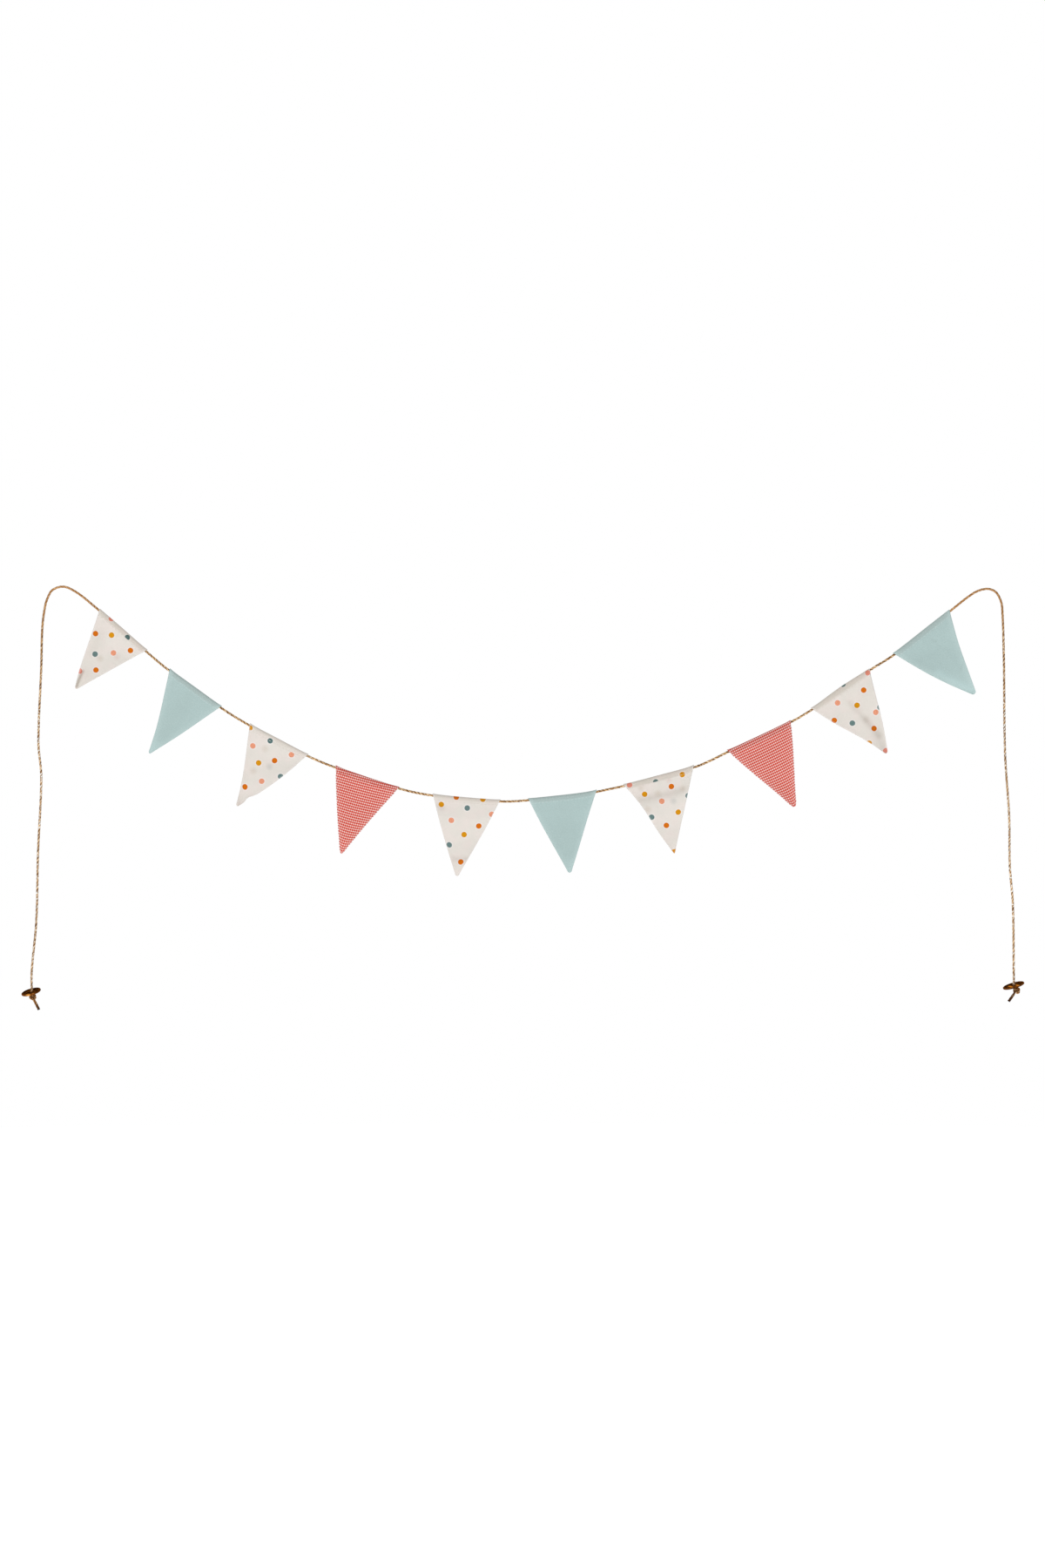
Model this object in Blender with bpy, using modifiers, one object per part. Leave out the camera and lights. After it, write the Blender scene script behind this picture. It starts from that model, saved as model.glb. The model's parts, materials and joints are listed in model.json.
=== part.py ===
"""Fabric bunting: ten small cloth pennants sewn over one thin twisted cord.

The cord hangs from two points, where it bends over. Between them it sags with the pennants, and outside
them its two free tails hang down, each with a metal disc that sits on an overhand knot.
X runs along the bunting, Z is up and the front of the cloth faces -Y. The origin is the underside of the
cord where the left bend hangs. Lengths in the tables are millimetres.
"""

import math
from collections import namedtuple

import bmesh
import bpy
from mathutils import Euler, Matrix, Vector
from mathutils.geometry import interpolate_bezier

MM = 0.001

# The cord.
CORD_DIAMETER = 1.3 * MM
CORD_SPAN_STEPS = 2  # tube points for each stretch of the route
GAP = 0.3 * MM  # between pieces that touch

# The cloth. A pennant is folded double over the cord and stitched below it.
CLOTH_HALF = 0.6 * MM  # half the thickness of the two layers
CASING_BORE = 1.1 * MM  # radius of the casing's tunnel, at its corners
CASING_OUTER = 2.1 * MM  # radius of the outside of the casing
CASING_DEPTH = 3.4 * MM  # from the cord's middle down to the stitch line
CASING_SIDES = 8
TIP_ROUND = 0.6 * MM  # how far the rounded tip's middle hangs below its corners
NIP_AT = 0.85  # the place, as a share of the drop, and the length of the nip
NIP_LENGTH = 0.06
COLUMNS = 8  # faces across a pennant
ROWS = 8  # faces from the stitch line to the tip

# The metal discs at the ends.
DISC_HOLE = 1.2 * MM
DISC_WEB = 0.8 * MM  # thickness between the hole and the rim
DISC_RIM = 0.7 * MM  # how far the turned-up rim rises from the middle
DISC_EDGE = 0.45 * MM  # width of the rim's rounding
DISC_STEPS = 36

# The overhand knots: a trefoil of the cord, drawn tight, so the strand is thinner there.
KNOT_RING = 1.18 * MM  # radius of the ring that the strand winds round
KNOT_WIND = 0.6 * MM  # how far it winds off that ring
KNOT_STRAND = 0.36 * MM  # radius of the tightened strand
KNOT_STEP = 20  # degrees of the ring for each point

# The cord's route from the left end to the right end: across, depth and height.
ROUTE = [
    (-17.4, 0.0, -231.3),
    (-17.4, 0.2, -220.0),
    (-14.9, 1.2, -191.0),
    (-13.8, 0.4, -152.0),
    (-11.8, -0.8, -109.0),
    (-13.4, -1.0, -88.6),
    (-11.9, -0.2, -46.0),
    (-11.3, 0.2, -22.6),
    (-9.6, 0.0, -10.1),
    (-7.8, 0.0, -4.8),
    (-5.4, 0.0, -1.2),
    (0.0, 0.0, 0.65),
    (4.9, 0.0, -0.6),
    (13.4, 0.0, -6.3),
    (46.9, 0.0, -35.3),
    (60.4, 0.0, -46.6),
    (90.4, 0.0, -68.3),
    (108.4, 0.0, -79.4),
    (140.4, 0.0, -96.2),
    (157.9, 0.0, -103.5),
    (192.4, 0.0, -114.9),
    (213.9, 0.0, -119.4),
    (250.9, 0.0, -122.6),
    (268.9, 0.0, -121.8),
    (305.9, 0.0, -117.3),
    (362.4, 0.0, -103.2),
    (383.4, 0.0, -93.7),
    (418.9, 0.0, -76.8),
    (431.4, 0.0, -69.4),
    (464.4, 0.0, -46.9),
    (477.9, 0.0, -38.3),
    (509.6, 0.0, -13.6),
    (523.5, 0.0, -3.0),
    (530.7, 0.0, -0.6),
    (535.7, 0.0, -2.1),
    (538.6, 0.0, -6.4),
    (539.8, 0.0, -11.4),
    (540.8, 0.2, -40.0),
    (541.5, 0.4, -95.0),
    (543.7, -0.8, -131.0),
    (544.1, -1.0, -160.0),
    (546.0, 0.4, -182.0),
    (546.5, 0.0, -227.8),
]

# A pennant. left and right: where its edges meet the cord, along X. drop: from the cord to the tip. lean: how
# far the tip is right of the casing's middle. tip: the blunt tip's width. bow: how far an edge bows out.
# sway: how far its upper half bows out and its lower half in. nip: how far the right edge is drawn in just
# above the tip.
Outline = namedtuple("Outline", "left right drop lean tip bow_left sway_left bow_right sway_right nip")
# cup: how far the side edges come forward. wave: height of the soft undulation, with its number of waves down
# the cloth, its slant across and its start, in turns. curl: how far the tip turns back.
Folds = namedtuple("Folds", "cup wave waves slant start curl")
Pennant = namedtuple("Pennant", "cloth outline folds")
#    cloth      left   right  drop lean tip bow_l sway_l bow_r sway_r nip   cup wave waves slant start curl
PENNANTS = [
    ("dotted", (21.4, 47.9, 42.8, 1.5, 1.4, 0.4, -0.2, 0.1, -0.1, 0.0), (0.9, 0.6, 0.9, 0.3, 0.0, 1.9)),
    ("blue", (61.7, 90.7, 45.2, 0.4, 1.4, -0.9, 0.2, 0.5, -0.1, 0.0), (0.5, 0.4, 0.6, -0.3, 0.2, 0.6)),
    ("dotted", (107.8, 140.5, 44.2, -3.3, 1.4, -0.8, 0.2, 1.7, 0.0, 1.4), (1.1, 0.7, 1.0, 0.4, 0.1, -1.6)),
    ("gingham", (157.3, 193.0, 45.8, -0.6, 1.4, 0.4, 0.0, -0.5, 0.0, 0.0), (0.6, 0.5, 0.8, -0.2, 0.3, 0.8)),
    ("dotted", (213.2, 251.1, 44.8, -1.5, 1.8, 0.6, 0.0, 0.5, 0.1, 0.0), (0.5, 0.7, 1.1, 0.2, 0.6, 0.7)),
    ("blue", (268.2, 306.6, 44.2, -1.2, 2.0, 0.4, 0.1, -0.1, -0.1, 0.0), (0.4, 0.4, 0.7, -0.1, 0.0, 0.5)),
    ("dotted", (323.0, 362.4, 44.8, -2.6, 0.8, -0.6, -0.6, 0.1, 0.0, 0.0), (0.5, 0.9, 1.3, 0.1, 0.3, 0.9)),
    ("gingham", (382.9, 418.3, 44.8, 0.9, 2.2, 0.1, 0.2, 0.2, 0.1, 0.0), (0.5, 0.5, 0.7, 0.3, 0.5, -0.6)),
    ("dotted", (431.0, 463.8, 44.8, 1.1, 2.0, -0.1, 0.5, 0.5, -0.3, 0.0), (0.8, 0.9, 0.8, 0.6, 0.2, 1.0)),
    ("blue", (478.2, 509.7, 46.2, 2.2, 2.2, 1.6, -0.1, -0.8, -0.1, 0.0), (0.9, 0.7, 1.0, -0.4, 0.1, 1.1)),
]
PENNANTS = [Pennant(cloth, Outline(*outline), Folds(*folds)) for cloth, outline, folds in PENNANTS]

# The disc's radius, its middle, and its rise to the right and dip towards the front in degrees; the knot's
# middle, and its height as a share of its width; where the strand leaves the knot; and where its tail ends.
End = namedtuple("End", "name radius disc rise dip knot flat leaves tail")
ENDS = [
    End(
        "left", 5.7, (-17.7, 0.0, -232.1), 14, 15, (-16.6, 0.0, -234.75), 0.86,
        ((-18.3, -1.0, -235.1), (-17.7, -1.5, -235.6), (-16.7, -1.6, -235.9), (-15.8, -1.4, -236.7)),
        (-13.1, -0.8, -242.1),
    ),
    End(
        "right", 6.3, (546.4, 0.0, -228.4), 17, 7, (548.3, 0.0, -231.2), 0.95,
        ((546.6, -0.9, -232.0), (546.6, -1.1, -232.7), (546.1, -1.0, -233.5)),
        (543.4, -0.8, -237.4),
    ),
]

# Material: colour, roughness, metallic.
FINISHES = {
    "dotted": ((0.79, 0.73, 0.69), 0.9, 0.0),
    "blue": ((0.45, 0.60, 0.58), 0.9, 0.0),
    "gingham": ((0.72, 0.21, 0.17), 0.9, 0.0),
    "cord": ((0.46, 0.25, 0.10), 0.45, 0.6),
    "disc": ((0.10, 0.04, 0.015), 0.3, 1.0),
}


def clear_scene():
    for obj in list(bpy.data.objects):
        bpy.data.objects.remove(obj)


def make_finish(name):
    colour, roughness, metallic = FINISHES[name]
    material = bpy.data.materials.new(name)
    material.use_nodes = True
    shader = material.node_tree.nodes["Principled BSDF"]
    shader.inputs["Base Color"].default_value = (*colour, 1.0)
    shader.inputs["Roughness"].default_value = roughness
    shader.inputs["Metallic"].default_value = metallic
    return material


def add_object(name, data, finish, collection):
    obj = bpy.data.objects.new(name, data)
    data.materials.append(make_finish(finish))
    obj.data.materials[0].name = f"{name}_finish"
    collection.objects.link(obj)
    return obj


def smooth_line(points, steps):
    """A smooth curve through the points, with this many steps for each stretch between two of them."""
    line = [points[0]]
    for i in range(len(points) - 1):
        start, end = points[i], points[i + 1]
        before = points[i - 1] if i else start
        after = points[i + 2] if i + 2 < len(points) else end
        reach = (end - start).length
        handle_out = (end - before).normalized() * reach / 3
        handle_in = (after - start).normalized() * reach / 3
        line += interpolate_bezier(start, start + handle_out, end - handle_in, end, steps + 1)[1:]
    return line


def tube(name, line, radii, finish, collection):
    """A round cord along the line, as a curve with a bevel. radii are shares of the cord's radius."""
    curve = bpy.data.curves.new(name, "CURVE")
    curve.dimensions = "3D"
    curve.bevel_depth = CORD_DIAMETER / 2
    curve.bevel_resolution = 2
    curve.use_fill_caps = True
    spline = curve.splines.new("POLY")
    spline.points.add(len(line) - 1)
    for point, place, radius in zip(spline.points, line, radii):
        point.co = (*place, 1.0)
        point.radius = radius
    return add_object(name, curve, finish, collection)


def cord_line():
    return smooth_line([Vector(place) * MM for place in ROUTE], CORD_SPAN_STEPS)


def on_cord(line, x):
    """The point of the sagging stretch at this X."""
    for start, end in zip(line, line[1:]):
        if start.x <= x <= end.x:
            return start.lerp(end, (x - start.x) / (end.x - start.x))
    raise ValueError("the sagging stretch doesn't reach this far")


def fold(folds, across, down):
    """How far the cloth stands behind its flat plane. across and down run from 0 to 1."""
    free = min(1.0, down / 0.25) ** 2  # the casing holds the top flat
    edges = (2 * across - 1) ** 2 - 1 / 3
    turns = folds.waves * down + folds.slant * (across - 0.5) + folds.start
    curl = max(0.0, (down - 0.7) / 0.3) ** 2
    depth = folds.wave * math.sin(2 * math.pi * turns) - folds.cup * edges
    return (free * depth + folds.curl * curl) * MM


def edge_shift(outline, across, down):
    """How far the cloth is moved to the right by its bowed and drawn-in edges."""
    once, twice = math.sin(math.pi * down), math.sin(2 * math.pi * down)
    nip = outline.nip * math.exp(-(((down - NIP_AT) / NIP_LENGTH) ** 2))
    right = outline.bow_right * once + outline.sway_right * twice - nip
    left = outline.bow_left * once + outline.sway_left * twice
    return (across * right - (1 - across) * left) * MM


def cloth_point(pennant, cord_point, across, depth, behind):
    """A point of the cloth in the pennant's own frame: across from 0 to 1, depth down from the cord."""
    outline = pennant.outline
    drop = outline.drop * MM
    down = max(0.0, depth / drop)
    tip_x = (outline.lean + (across - 0.5) * outline.tip) * MM
    tip_z = -drop + TIP_ROUND * (2 * across - 1) ** 2
    x = cord_point.x + (tip_x - cord_point.x) * depth / drop + edge_shift(outline, across, down)
    z = cord_point.z - depth if depth <= 0 else cord_point.z * (1 - down) + tip_z * down
    return Vector((x, behind + fold(pennant.folds, across, down), z))


def ring(radius):
    """Depth and distance behind the cord for the corners of a round section, from straight down."""
    angles = [2 * math.pi * k / CASING_SIDES for k in range(CASING_SIDES)]
    return [(radius * math.cos(a), -radius * math.sin(a)) for a in angles]


def cloth_sections(pennant, line, to_own_frame):
    """For each column, the points of the tunnel, of the casing's outside and of both sides of the cloth."""
    outline = pennant.outline
    drop = outline.drop * MM
    depths = [CASING_DEPTH + (drop - CASING_DEPTH) * j / ROWS for j in range(ROWS + 1)]
    for column in range(COLUMNS + 1):
        across = column / COLUMNS
        x = (outline.left + (outline.right - outline.left) * across) * MM
        here = to_own_frame @ on_cord(line, x)

        def points(places):
            return [cloth_point(pennant, here, across, depth, behind) for depth, behind in places]

        yield (
            points(ring(CASING_BORE)),
            points(ring(CASING_OUTER)[1:]),
            points((depth, -CLOTH_HALF) for depth in depths),
            points((depth, CLOTH_HALF) for depth in depths),
        )


def add_pennant(name, pennant, line, collection):
    """One piece of cloth, folded double over the cord: a casing with its tunnel, and the triangle below."""
    outline = pennant.outline
    left, right = on_cord(line, outline.left * MM), on_cord(line, outline.right * MM)
    turn = Euler((0.0, -math.atan2(right.z - left.z, right.x - left.x), 0.0))
    own_frame = Matrix.LocRotScale((left + right) / 2, turn, None)
    bm = bmesh.new()
    sections = []
    for section in cloth_sections(pennant, line, own_frame.inverted()):
        bore, outer, front, back = ([bm.verts.new(point) for point in side] for side in section)
        sections.append((bore, front[::-1] + outer + back, outer, front, back))
    for (bore_a, skin_a, *_), (bore_b, skin_b, *_) in zip(sections, sections[1:]):
        for a, b in ((bore_a, bore_b), (skin_a, skin_b)):
            for k in range(len(a)):
                bm.faces.new((a[k - 1], a[k], b[k], b[k - 1]))
    for bore, _, outer, front, back in (sections[0], sections[-1]):
        around = [front[0], *outer, back[0]]
        for k, (a, b) in enumerate(zip(around, around[1:])):
            bm.faces.new((bore[k], a, b, bore[(k + 1) % CASING_SIDES]))
        bm.faces.new((bore[0], back[0], front[0]))
        for j in range(ROWS):
            bm.faces.new((front[j], back[j], back[j + 1], front[j + 1]))
    bmesh.ops.recalc_face_normals(bm, faces=bm.faces)
    mesh = bpy.data.meshes.new(name)
    bm.to_mesh(mesh)
    bm.free()
    obj = add_object(name, mesh, pennant.cloth, collection)
    obj.matrix_world = own_frame
    return obj


def add_disc(end, collection):
    """A turned disc with a turned-up rim and a hole, threaded on the cord and resting on the knot."""
    radius = end.radius * MM
    low, high = -DISC_WEB / 2, DISC_WEB / 2
    profile = [
        (DISC_HOLE, high),
        (radius - 3 * DISC_EDGE, high),
        (radius - DISC_EDGE, DISC_RIM),
        (radius, DISC_RIM - DISC_EDGE),
        (radius, low + DISC_EDGE),
        (radius - DISC_EDGE, low),
        (DISC_HOLE, low),
    ]
    mesh = bpy.data.meshes.new(f"disc_{end.name}")
    edges = [(k, (k + 1) % len(profile)) for k in range(len(profile))]
    mesh.from_pydata([(r, 0.0, z) for r, z in profile], edges, [])
    obj = add_object(f"disc_{end.name}", mesh, "disc", collection)
    turn = obj.modifiers.new("turn", "SCREW")
    turn.axis = "Z"
    turn.angle = 2 * math.pi
    turn.steps = DISC_STEPS
    turn.render_steps = DISC_STEPS
    turn.use_merge_vertices = True
    turn.merge_threshold = 0.00005
    turn.use_smooth_shade = True
    obj.location = Vector(end.disc) * MM
    obj.rotation_euler = (math.radians(end.dip), -math.radians(end.rise), 0.0)
    return obj


def knot_line(end, cord_end):
    """The strand from the cord's end through the knot, and its radius as a share of the cord's radius."""
    middle = Vector(end.knot) * MM
    thin = KNOT_STRAND / (CORD_DIAMETER / 2)

    def place(left, y, up):
        return middle + Vector((-left, y, up))

    edge = KNOT_RING + KNOT_WIND
    line = [
        (cord_end - Vector((0.0, 0.0, GAP)), 1.0),
        (cord_end - Vector((0.0, 0.0, GAP + CORD_DIAMETER / 2)), 0.85),
        (place(edge - 0.1 * MM, 0.5 * MM, 1.2 * MM), thin),
        (place(edge + 0.05 * MM, KNOT_WIND, 0.6 * MM), thin),
    ]
    for degrees in range(0, 720 + KNOT_STEP, KNOT_STEP):
        phi = math.radians(degrees)
        out = KNOT_RING + KNOT_WIND * math.cos(1.5 * phi)
        # The first and the last sixth of a turn cross each other, so they keep to the back and the front.
        behind = 1.0 if degrees < 60 else -1.0 if degrees > 660 else math.sin(1.5 * phi)
        line.append((place(out * math.cos(phi), behind * KNOT_WIND, -out * math.sin(phi) * end.flat), thin))
    for k, point in enumerate(end.leaves):
        line.append((Vector(point) * MM, thin + (1.0 - thin) * k / (len(end.leaves) - 1)))
    line.append((Vector(end.tail) * MM, 1.0))
    return line


def add_knot(end, cord_end, collection):
    line = knot_line(end, cord_end)
    return tube(f"knot_{end.name}", [p for p, _ in line], [r for _, r in line], "cord", collection)


def main():
    clear_scene()
    collection = bpy.data.collections.new("fabric_bunting")
    bpy.context.scene.collection.children.link(collection)
    line = cord_line()
    tube("cord", line, [1.0] * len(line), "cord", collection)
    for number, pennant in enumerate(PENNANTS, start=1):
        add_pennant(f"pennant_{number:02d}", pennant, line, collection)
    for end, cord_end in zip(ENDS, (line[0], line[-1])):
        add_disc(end, collection)
        add_knot(end, cord_end, collection)


main()
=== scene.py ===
# %% [markdown]
# # A small fabric bunting
#
# Ten cotton pennants, each folded double over one thin twisted gold-coloured cord and stitched below it.
# The cord sags between two bends, and its two free tails end in a metal disc that sits on an overhand knot.
# The CAD model gives the sizes and places. This script gives each piece its look: woven and printed cotton,
# machine stitches, frayed edges, a cord that is really twisted, and old brass.

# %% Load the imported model
import json
import math
from collections import namedtuple

import bmesh
import bpy
from mathutils import Euler, Matrix, Vector, noise
from mathutils.geometry import interpolate_bezier
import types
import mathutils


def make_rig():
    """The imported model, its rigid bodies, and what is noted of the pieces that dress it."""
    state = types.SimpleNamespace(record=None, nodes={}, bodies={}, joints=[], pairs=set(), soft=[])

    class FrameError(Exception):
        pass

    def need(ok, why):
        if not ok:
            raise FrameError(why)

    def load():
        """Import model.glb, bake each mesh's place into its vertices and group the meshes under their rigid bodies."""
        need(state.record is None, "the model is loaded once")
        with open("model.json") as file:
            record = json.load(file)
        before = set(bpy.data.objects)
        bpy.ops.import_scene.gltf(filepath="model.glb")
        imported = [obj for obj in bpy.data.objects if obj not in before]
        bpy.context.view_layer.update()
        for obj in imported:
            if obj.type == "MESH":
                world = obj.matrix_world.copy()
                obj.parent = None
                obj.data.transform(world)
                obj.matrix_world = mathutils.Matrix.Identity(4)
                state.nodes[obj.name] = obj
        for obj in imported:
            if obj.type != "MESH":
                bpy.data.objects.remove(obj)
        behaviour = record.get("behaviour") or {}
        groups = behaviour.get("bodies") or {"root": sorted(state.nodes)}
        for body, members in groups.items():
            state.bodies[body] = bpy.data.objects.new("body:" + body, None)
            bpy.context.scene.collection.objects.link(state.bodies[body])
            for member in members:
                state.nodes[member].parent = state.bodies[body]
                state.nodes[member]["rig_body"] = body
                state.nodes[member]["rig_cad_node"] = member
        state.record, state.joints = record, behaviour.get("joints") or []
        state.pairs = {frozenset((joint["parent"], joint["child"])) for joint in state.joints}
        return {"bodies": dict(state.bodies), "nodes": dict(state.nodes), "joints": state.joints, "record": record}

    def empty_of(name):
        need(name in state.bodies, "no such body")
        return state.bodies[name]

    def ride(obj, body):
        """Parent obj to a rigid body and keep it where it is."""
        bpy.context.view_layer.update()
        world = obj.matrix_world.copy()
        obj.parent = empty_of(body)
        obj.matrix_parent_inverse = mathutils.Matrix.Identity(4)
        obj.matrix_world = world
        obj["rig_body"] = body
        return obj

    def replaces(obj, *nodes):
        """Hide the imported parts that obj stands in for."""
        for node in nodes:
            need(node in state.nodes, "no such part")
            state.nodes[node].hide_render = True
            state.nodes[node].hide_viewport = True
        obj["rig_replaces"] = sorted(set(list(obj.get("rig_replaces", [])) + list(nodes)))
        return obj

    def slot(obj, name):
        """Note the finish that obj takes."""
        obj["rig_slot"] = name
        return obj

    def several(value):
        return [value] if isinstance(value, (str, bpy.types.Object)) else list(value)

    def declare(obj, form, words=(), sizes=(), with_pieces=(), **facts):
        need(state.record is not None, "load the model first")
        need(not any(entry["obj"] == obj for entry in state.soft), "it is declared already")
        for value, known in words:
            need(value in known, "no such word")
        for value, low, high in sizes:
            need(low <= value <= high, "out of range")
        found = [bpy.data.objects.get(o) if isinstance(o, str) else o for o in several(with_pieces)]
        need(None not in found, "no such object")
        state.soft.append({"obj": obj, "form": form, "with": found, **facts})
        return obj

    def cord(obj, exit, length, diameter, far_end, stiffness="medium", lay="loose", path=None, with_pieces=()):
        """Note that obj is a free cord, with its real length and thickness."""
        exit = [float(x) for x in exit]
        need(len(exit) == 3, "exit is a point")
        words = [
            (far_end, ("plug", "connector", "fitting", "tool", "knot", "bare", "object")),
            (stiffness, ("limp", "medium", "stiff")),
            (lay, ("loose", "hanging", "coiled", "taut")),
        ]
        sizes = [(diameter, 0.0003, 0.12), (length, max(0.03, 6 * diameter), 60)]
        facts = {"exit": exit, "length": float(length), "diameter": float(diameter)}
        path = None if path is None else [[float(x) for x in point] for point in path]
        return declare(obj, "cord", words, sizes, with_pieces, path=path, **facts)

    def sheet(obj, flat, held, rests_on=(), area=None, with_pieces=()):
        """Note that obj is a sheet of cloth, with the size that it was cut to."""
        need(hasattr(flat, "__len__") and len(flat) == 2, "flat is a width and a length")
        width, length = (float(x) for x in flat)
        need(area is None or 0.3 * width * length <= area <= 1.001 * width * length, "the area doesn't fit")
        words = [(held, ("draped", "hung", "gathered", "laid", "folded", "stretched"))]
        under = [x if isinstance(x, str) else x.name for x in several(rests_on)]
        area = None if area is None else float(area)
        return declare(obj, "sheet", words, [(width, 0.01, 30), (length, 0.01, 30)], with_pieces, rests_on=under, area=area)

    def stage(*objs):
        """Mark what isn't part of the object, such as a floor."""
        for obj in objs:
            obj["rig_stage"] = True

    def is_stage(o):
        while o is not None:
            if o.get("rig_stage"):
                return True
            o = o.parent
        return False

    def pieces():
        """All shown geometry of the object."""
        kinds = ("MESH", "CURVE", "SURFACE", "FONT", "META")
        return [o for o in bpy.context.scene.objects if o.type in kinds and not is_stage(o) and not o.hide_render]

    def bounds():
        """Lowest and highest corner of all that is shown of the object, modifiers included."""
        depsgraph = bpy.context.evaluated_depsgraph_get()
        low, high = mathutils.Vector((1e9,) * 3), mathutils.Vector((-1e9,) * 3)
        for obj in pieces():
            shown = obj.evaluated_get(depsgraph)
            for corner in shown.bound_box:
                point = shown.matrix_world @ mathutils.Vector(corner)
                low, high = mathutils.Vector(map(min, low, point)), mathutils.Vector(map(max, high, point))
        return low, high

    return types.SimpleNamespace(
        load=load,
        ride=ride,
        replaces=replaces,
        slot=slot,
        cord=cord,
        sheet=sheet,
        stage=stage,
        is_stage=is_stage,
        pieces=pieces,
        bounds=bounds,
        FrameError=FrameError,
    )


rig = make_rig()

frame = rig.load()
cad_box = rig.bounds()
MM = 0.001
print("CAD box in mm:", [[round(x / MM, 1) for x in corner] for corner in cad_box])


# %% Helpers for objects and colours
def new_object(name, data):
    """A new object with this data, linked to the scene."""
    obj = bpy.data.objects.new(name, data)
    bpy.context.scene.collection.objects.link(obj)
    return obj


def new_material(name):
    """A new material, its node tree and the Principled BSDF in it."""
    material = bpy.data.materials.new(name)
    material.use_nodes = True
    return material, material.node_tree, material.node_tree.nodes["Principled BSDF"]


def linear(code):
    """An sRGB hex colour as linear red, green, blue and alpha."""
    parts = [int(code[i : i + 2], 16) / 255 for i in (1, 3, 5)]
    return tuple(p / 12.92 if p <= 0.04045 else ((p + 0.055) / 1.055) ** 2.4 for p in parts) + (1.0,)


print("white is", linear("#FFFFFF"))

# %% Helpers for nodes
MIX_A, MIX_B, MIX_RESULT = 6, 7, 2  # the colour sockets of a Mix node


def add_node(tree, kind, inputs=None, stops=(), **settings):
    """Add a node. inputs are values or the sockets that feed it, and settings are its own properties.

    stops are a colour ramp's places and colours, from its low end to its high end.
    """
    node = tree.nodes.new(kind)
    for name, value in settings.items():
        setattr(node, name, value)
    for key, value in (inputs or {}).items():
        if isinstance(value, bpy.types.NodeSocket):
            tree.links.new(value, node.inputs[key])
        else:
            node.inputs[key].default_value = value
    if stops:
        elements = node.color_ramp.elements
        for element, (place, code) in zip(elements, (stops[0], stops[-1])):
            element.position = place
            element.color = linear(code)
        for place, code in stops[1:-1]:
            elements.new(place).color = linear(code)
    return node


def feed(tree, kind, inputs=None, **options):
    """Add a node and return its first output, which feeds the next one."""
    return add_node(tree, kind, inputs, **options).outputs[0]


def drawn_noise(tree, place, scales, detail):
    """A noise with a scale of its own along each axis, such as one that is drawn out along a thread."""
    drawn = feed(tree, "ShaderNodeVectorMath", {0: place, 1: scales}, operation="MULTIPLY")
    return feed(tree, "ShaderNodeTexNoise", {"Vector": drawn, "Scale": 1.0, "Detail": detail})


print("a Mix node gives its colour at output", MIX_RESULT)

# %% [markdown]
# ## Camera, light and floor
#
# The photograph is a straight view with a white ground and almost no shadow. A long lens far away gives
# that view: at 85 mm on a 36 mm sensor, a frame 900 mm high is 2125 mm away. The light has to be soft,
# because cotton shows its folds by slow changes of tone, so two large area lights stand beside the camera
# and a pale world fills the rest. The world is white where the camera sees it and a little darker as a
# light, which leaves the metal something to reflect.

# %% Camera
FRAME_HEIGHT = 900 * MM
LENS = 85.0
SENSOR = 36.0
FRAME_MIDDLE = Vector((264.4, 0.0, -112.6)) * MM

camera = new_object("camera", bpy.data.cameras.new("camera"))
camera.data.lens = LENS
camera.data.sensor_width = SENSOR
camera.data.clip_start = 0.01
camera.location = FRAME_MIDDLE + Vector((0.0, -FRAME_HEIGHT * LENS / SENSOR, 0.0))
camera.rotation_euler = (math.radians(90), 0.0, 0.0)
bpy.context.scene.camera = camera
bpy.context.scene.view_settings.view_transform = "Standard"
print("camera stands", round(-camera.location.y, 3), "m in front")

# %% World
world = bpy.data.worlds.new("studio")
world.use_nodes = True
world.node_tree.nodes.clear()
seen = feed(world.node_tree, "ShaderNodeBackground", {"Color": linear("#FFFFFF"), "Strength": 1.0})
fill = feed(world.node_tree, "ShaderNodeBackground", {"Color": linear("#FAF9F8"), "Strength": 0.525})
for_camera = add_node(world.node_tree, "ShaderNodeLightPath").outputs["Is Camera Ray"]
either = feed(world.node_tree, "ShaderNodeMixShader", {0: for_camera, 1: fill, 2: seen})
add_node(world.node_tree, "ShaderNodeOutputWorld", {"Surface": either})
bpy.context.scene.world = world
print("world:", world.name)

# %% Floor
FLOOR_DEPTH = -0.95
FLOOR_RADIUS = 7.0

floor_mesh = bpy.data.meshes.new("floor")
shape = bmesh.new()
bmesh.ops.create_circle(shape, cap_ends=True, segments=96, radius=FLOOR_RADIUS)
bmesh.ops.translate(shape, verts=shape.verts, vec=(FRAME_MIDDLE.x, 0.0, FLOOR_DEPTH))
shape.to_mesh(floor_mesh)
shape.free()
floor = new_object("floor", floor_mesh)
floor_paint, _, floor_shader = new_material("matt white studio floor")
floor_shader.inputs["Base Color"].default_value = linear("#F7F6F5")
floor_shader.inputs["Roughness"].default_value = 0.9
floor_shader.inputs["Emission Color"].default_value = linear("#FFFFFF")
floor_shader.inputs["Emission Strength"].default_value = 0.57  # lifts it to the photograph's white ground
floor_mesh.materials.append(floor_paint)
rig.stage(floor)
print("floor at", FLOOR_DEPTH, "m")

# %% Lights
LIGHTS = [  # name, place in m, size in m, watts
    ("key", (-0.75, -1.9, 1.25), 1.4, 17.0),
    ("fill", (1.7, -1.7, 0.2), 1.6, 3.4),
    ("back", (0.3, 1.6, 1.1), 1.4, 7.6),
]
for name, place, size, watts in LIGHTS:
    lamp = bpy.data.lights.new(name, "AREA")
    lamp.size = size
    lamp.energy = watts
    light = new_object(name, lamp)
    light.location = place
    light.rotation_euler = (FRAME_MIDDLE - light.location).to_track_quat("-Z", "Y").to_euler()
print(len(LIGHTS), "area lights")

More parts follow.
